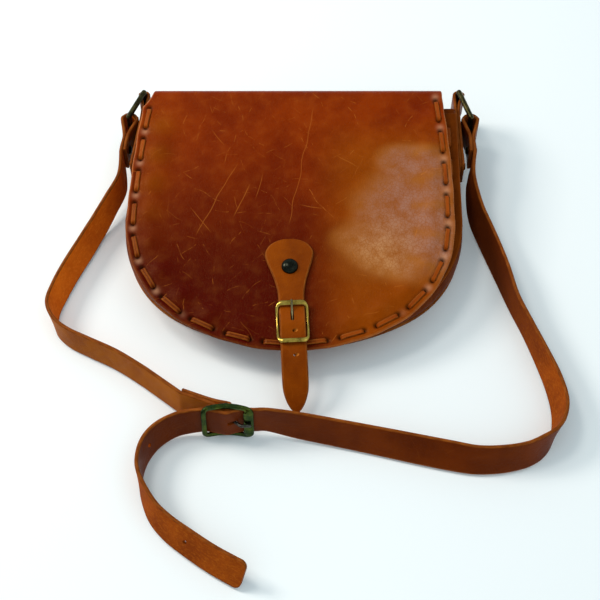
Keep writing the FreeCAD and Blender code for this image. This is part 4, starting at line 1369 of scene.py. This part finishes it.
def leaned(points, side):
    """Plan points of what is on a side of the body: the left one leans in above the widest line."""
    if side > 0:
        return np.array(points, float)
    hinge = np.array([-body_half_width, body_widest_y])
    return turned(np.array(points, float) - hinge, -body_left_lean) + hinge


def upright(points, side):
    """Rows of a strap that stands upright at the tabs' height, from its plan points."""
    rows = np.zeros((len(points), 6))
    rows[:, :2] = leaned(points, side)
    rows[:, 2] = tab_z
    rows[:, 5] = 1.0
    return rows


def loop_over(bar, radius, side):
    """Half turn over a bar, from the side nearer the bag to the outer one."""
    return [(bar[0] + side * radius * math.cos(turn), bar[1] + radius * math.sin(turn))
            for turn in half_turn + math.pi / 2]


def strap_end_rows(side):
    """Doubled strap end: up its inner layer, over the ring and down its outer layer."""
    bar = ring_bar(side)[1]
    join_y = bar[1] - strap_join_drop
    end_y = bar[1] - strap_doubled
    inner_x = bar[0] - side * strap_layer
    outer_x = bar[0] + side * strap_layer
    plan = [(inner_x, end_y), (inner_x, join_y)] + loop_over(bar, strap_loop_radius, side)
    plan += [(outer_x, join_y), (outer_x, end_y + strap_step_over)]
    return upright(smooth_route(plan), side)


def fall_station(side):
    """Station where a strap leaves its doubled end."""
    bar = ring_bar(side)[1]
    place = leaned([(bar[0] + side * strap_layer, bar[1] - strap_doubled)], side)[0]
    return (*place, tab_z - strap_width / 2, 0.0)


def standing_rows(route):
    """Rows of a strap that stands on its lower edge and leans as its route says."""
    stations = smooth_route(route)
    ahead = unit(np.gradient(stations[:, :2], axis=0))
    left = columns(-ahead[:, 1], ahead[:, 0], np.zeros(len(ahead)))
    lean = np.radians(stations[:, 3])[:, None]
    across = Z * np.cos(lean) + left * np.sin(lean)
    foot = np.maximum(stations[:, 2], 0) + strap_leather / 2 * np.abs(np.sin(lean[:, 0]))
    centre = columns(stations[:, 0], stations[:, 1], foot) + across * (strap_width / 2)
    return np.hstack([centre, across])


def buckle_point(along, up, out):
    return buckle_origin + buckle_along * along + buckle_up * up + buckle_out * out


def buckle_station(along, share):
    """Station of the strap in its buckle, a share of the way from behind the bars to over them."""
    out = strap_behind_bar + share * (strap_over_bar - strap_behind_bar)
    foot = buckle_point(along, -strap_width / 2, out)
    foot_z = foot[2] - strap_leather / 2 * math.sin(buckle_lean)
    return (foot[0], foot[1], foot_z, -math.degrees(buckle_lean))


def chape_point(along, out):
    """Point of the strap end that is folded round the buckle's middle bar."""
    cos, sin = math.cos(chape_turn), math.sin(chape_turn)
    return buckle_point(along * cos - out * sin, 0, along * sin + out * cos - middle_drop)


def build_right_strap():
    threaded = [buckle_station(*crossing) for crossing in buckle_crossing]
    route = [fall_station(1)] + right_route + threaded + tail_route
    rows = resample(np.vstack([strap_end_rows(1), standing_rows(route)]), strap_step)
    rows = np.vstack([rows[:-tail_end_rows], resample(rows[-tail_end_rows:], tail_end_step)])
    along = lengths_along(rows[:, :3])
    short = np.maximum(tail_corner - (along[-1] - along), 0)
    widths = strap_width - 2 * (tail_corner - np.sqrt(tail_corner ** 2 - short ** 2))
    # Painted shadow of the bag across the strap's middle stretch
    shadow_and_darkening = shadow_strength * step_up(along, *shadow_from) * (1 - step_up(along, *shadow_to))
    piece = ribbon("right_strap", rows, widths, strap_leather, [strap_flesh, strap_grain, cut_edge],
                   shadow_and_darkening=shadow_and_darkening)
    cutters = []
    tail = standing_rows(tail_route)
    ahead = np.gradient(tail[:, :3], axis=0)
    for station in tail_hole_stations:
        place = tail[station * span_samples]
        through = np.cross(ahead[station * span_samples], place[3:])
        cutters.append(pin(place[:3], through, tail_hole_radius, tail_cut))
    cutters.append(pin(buckle_point(*strap_slot_place), buckle_out, strap_slot_radius, buckle_cut,
                       strap_slot_stretch, buckle_along))
    cut(piece, cutters)
    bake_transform(piece)
    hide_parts("right_strap_end", "right_strap_fall", "long_strap")


def build_left_strap():
    fold = [chape_point(-chape_length, strap_layer), chape_point(-chape_join, strap_layer)]
    for turn in half_turn:
        fold.append(chape_point(chape_loop_radius * math.cos(turn), chape_loop_radius * math.sin(turn)))
    fold += [chape_point(-chape_join, -strap_layer), chape_point(-chape_length, -strap_layer)]
    fold = smooth_route(fold)
    chape = np.hstack([fold, np.tile(buckle_up, (len(fold), 1))])
    rows = np.vstack([strap_end_rows(-1), standing_rows([fall_station(-1)] + left_route), chape])
    rows = resample(rows, strap_step / 2)
    piece = ribbon("left_strap", rows, strap_width, strap_leather,
                   [lit_left_grain, lit_left_flesh, cut_edge])
    cut(piece, [pin(chape_point(chape_slot_at, 0), buckle_out, chape_slot_radius, buckle_cut,
                    chape_slot_stretch, buckle_along)])
    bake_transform(piece)
    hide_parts("left_strap_end", "left_strap_fall", "short_strap")


def build_tabs():
    for side, name in ((-1, "left"), (1, "right")):
        centre = ring_bar(side)[0]
        loop = ring_wire + ring_slack + tab_leather / 2
        inner_x = side * (body_half_width + tab_leather / 2)
        outer_x = side * (body_half_width + 1.5 * tab_leather)
        join_y = tab_loop_y - tab_join_drop
        plan = [(inner_x, tab_bottom), (inner_x, join_y)] + loop_over(centre, loop, side)
        plan += [(outer_x, join_y), (outer_x, tab_bottom)]
        rows = resample(upright(smooth_route(plan), side), tab_step)
        slots = [strap_flesh, strap_grain, cut_edge] if side > 0 else [strap_grain, strap_flesh, cut_edge]
        piece = ribbon(name + "_tab_leather", rows, tab_width, tab_leather, slots)
        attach(piece, "bag")
        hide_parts(name + "_ring_tab")


def dress_metal(node, material, grain_size):
    """Rounds a metal node's edges and gives it its material."""
    piece = nodes[node]
    piece.data.materials.clear()
    piece.data.materials.append(material)
    rebuilt = piece.modifiers.new("rounded", "REMESH")
    rebuilt.mode = "VOXEL"
    rebuilt.voxel_size = grain_size * MM
    rebuilt.use_smooth_shade = True
    softened = piece.modifiers.new("softened", "SMOOTH")
    softened.factor = 0.5
    softened.iterations = 6


def rounded_frame(half_long, half_tall, radius):
    """Closed plan of a rounded rectangle, with the direction of travel at each point."""
    corners = []
    for long, tall, start in ((1, 1, 0), (-1, 1, 90), (-1, -1, 180), (1, -1, 270)):
        centre = (long * (half_long - radius), tall * (half_tall - radius))
        corners.append(arc_points(centre, radius, start, start + 90))
    plan = closed_outline(np.vstack(corners), buckle_step)
    travel = unit(np.roll(plan, -1, axis=0) - np.roll(plan, 1, axis=0))
    return plan, travel


def level_through(place, ends, heights):
    """Height on the smooth curve through a low end, the middle and a high end."""
    return np.polyval(np.polyfit([-ends, 0.0, ends], heights, 2), place)


def build_closure_buckle():
    """Brass frame with narrow rails and thick rounded end bars, and the middle bar under the strap."""
    plan, travel = rounded_frame(frame_half_width, bar_spacing + frame_end_over, frame_corner)
    height = level_through(plan[:, 1], bar_spacing, (frame_low_end, frame_middle, frame_top_end))
    centres = np.array([closure_point(x, y - buckle_middle, z) for (x, y), z in zip(plan, height)])
    sides = travel[:, 1:] * closure_side + travel[:, :1] * closure_down
    end_widths = np.where(plan[:, 1] > 0, frame_top_width, frame_low_width)
    widths = end_widths * travel[:, 0] ** 2 + frame_rail_width * travel[:, 1] ** 2
    buckle = tube("closure_frame", centres, sides, closure_up, widths, frame_depth, brass, frame_boxy, True)
    bar = np.array([closure_point(x, -buckle_middle, frame_middle)
                    for x in np.linspace(-frame_half_width, frame_half_width, bar_samples)])
    middle = tube("closure_bar", bar, closure_down, closure_up, frame_bar_width, frame_bar_width, brass)
    combine(buckle, [middle], "UNION")
    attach(buckle, "flap")
    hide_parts("closure_buckle")


def build_strap_buckle():
    """Tarnished frame with a wide bar at one end, arched rails and the bar in the strap's folded end."""
    plan, travel = rounded_frame(buckle_half_long, buckle_half_tall, buckle_corner)
    out = level_through(plan[:, 0], bar_reach, (bar_out, -rail_drop, bar_out))
    depths = level_through(plan[:, 0], bar_reach, (bar_depth, rail_depth, bar_depth))
    centres = np.array([buckle_point(along, up, shift) for (along, up), shift in zip(plan, out)])
    sides = travel[:, 1:] * buckle_along - travel[:, :1] * buckle_up
    bar_widths = np.where(plan[:, 0] > 0, wide_bar_width, narrow_bar_width)
    widths = bar_widths * travel[:, 1] ** 2 + rail_width * travel[:, 0] ** 2
    buckle = tube("strap_frame", centres, sides, buckle_out, widths, depths, green_brass, buckle_boxy, True)
    bar_end = buckle_half_tall - middle_bar_inset
    bar = np.array([buckle_point(0, up, -middle_drop)
                    for up in np.linspace(-bar_end, bar_end, bar_samples)])
    middle = tube("strap_bar", bar, buckle_along, buckle_out, middle_bar_width, middle_bar_width,
                  green_brass)
    combine(buckle, [middle], "UNION")
    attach(buckle, "strap")
    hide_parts("strap_buckle")


# Metal nodes, their materials and how fine their rounding is
metal_nodes = [
    ("closure_prong", steel, 0.18),
    ("strap_prong", dark_steel, 0.2),
    ("left_ring", antique, 0.3),
    ("right_ring", antique, 0.3),
    ("tab_rivets", antique, 0.25),
    ("strap_rivets", antique, 0.25),
    ("stud_socket", antique, 0.25),
    ("stud_post", antique, 0.25),
    ("stud_back_plate", antique, 0.25),
]


# Stage, in metres: floor, sky, and lamps with their place, size, power and colour
floor_size = 6.0
floor_z = -0.0003
floor_colour = (0.93, 0.95, 0.96, 1.0)
floor_roughness = 0.8
sky_colour = (0.80, 0.95, 1.0, 1.0)
sky_strength = 0.66
lamp_aim = Vector((0, 0, 0.02))
lamps = [
    ("key", (-1.25, 0.45, 1.05), 0.5, 15.0, (1.0, 0.95, 0.87)),
    ("window", (-0.55, 0.3, 1.3), 0.3, 4.0, (1.0, 0.97, 0.9)),
    ("fill", (0.9, -0.5, 1.2), 1.2, 2.0, (0.95, 0.98, 1.0)),
]


def build_stage():
    bpy.ops.mesh.primitive_plane_add(size=floor_size, location=(0, 0, floor_z))
    floor = bpy.context.object
    floor.name = "floor"
    material, _, bsdf = shader("floor_paper")
    bsdf.inputs["Base Color"].default_value = floor_colour
    bsdf.inputs["Roughness"].default_value = floor_roughness
    floor.data.materials.append(material)
    world = bpy.data.worlds.new("studio")
    world.use_nodes = True
    sky = world.node_tree.nodes["Background"]
    sky.inputs["Color"].default_value = sky_colour
    sky.inputs["Strength"].default_value = sky_strength
    scene.world = world
    for name, place, size, power, colour in lamps:
        lamp = bpy.data.lights.new(name, "AREA")
        lamp.size = size
        lamp.energy = power
        lamp.color = colour
        light = bpy.data.objects.new(name, lamp)
        light.location = place
        light.rotation_euler = (lamp_aim - light.location).to_track_quat("-Z", "Y").to_euler()
        scene.collection.objects.link(light)


def build_camera():
    lens = bpy.data.cameras.new("photo_view")
    lens.lens = 77.34
    lens.sensor_width = 36.0
    lens.clip_start = 0.05
    view = bpy.data.objects.new("photo_view", lens)
    view.location = (0.0047, -0.5952, 0.8387)
    view.rotation_euler = (math.radians(33.0), 0.0, 0.0)
    scene.collection.objects.link(view)
    scene.camera = view


build_camera()
build_flap()
build_bridge()
build_panels()
build_gusset()
build_lacing("flap_thong", "flap_lacing", flap_holes, flap_place, fold_outer, fold_inner, 1, "flap",
             flap_thong_settled, flap_thong_width, flap_tones)
build_lacing("front_thong", "front_lacing", body_holes, front_place, front_high,
             front_low - gusset_leather, 1, "bag")
build_lacing("back_thong", "back_lacing", body_holes, floor_place, thong_thickness,
             panel_leather + gusset_leather, -1, "bag")
build_closing_strap()
build_stud_cap()
build_right_strap()
build_left_strap()
build_tabs()
build_closure_buckle()
build_strap_buckle()
for metal_node in metal_nodes:
    dress_metal(*metal_node)
build_stage()
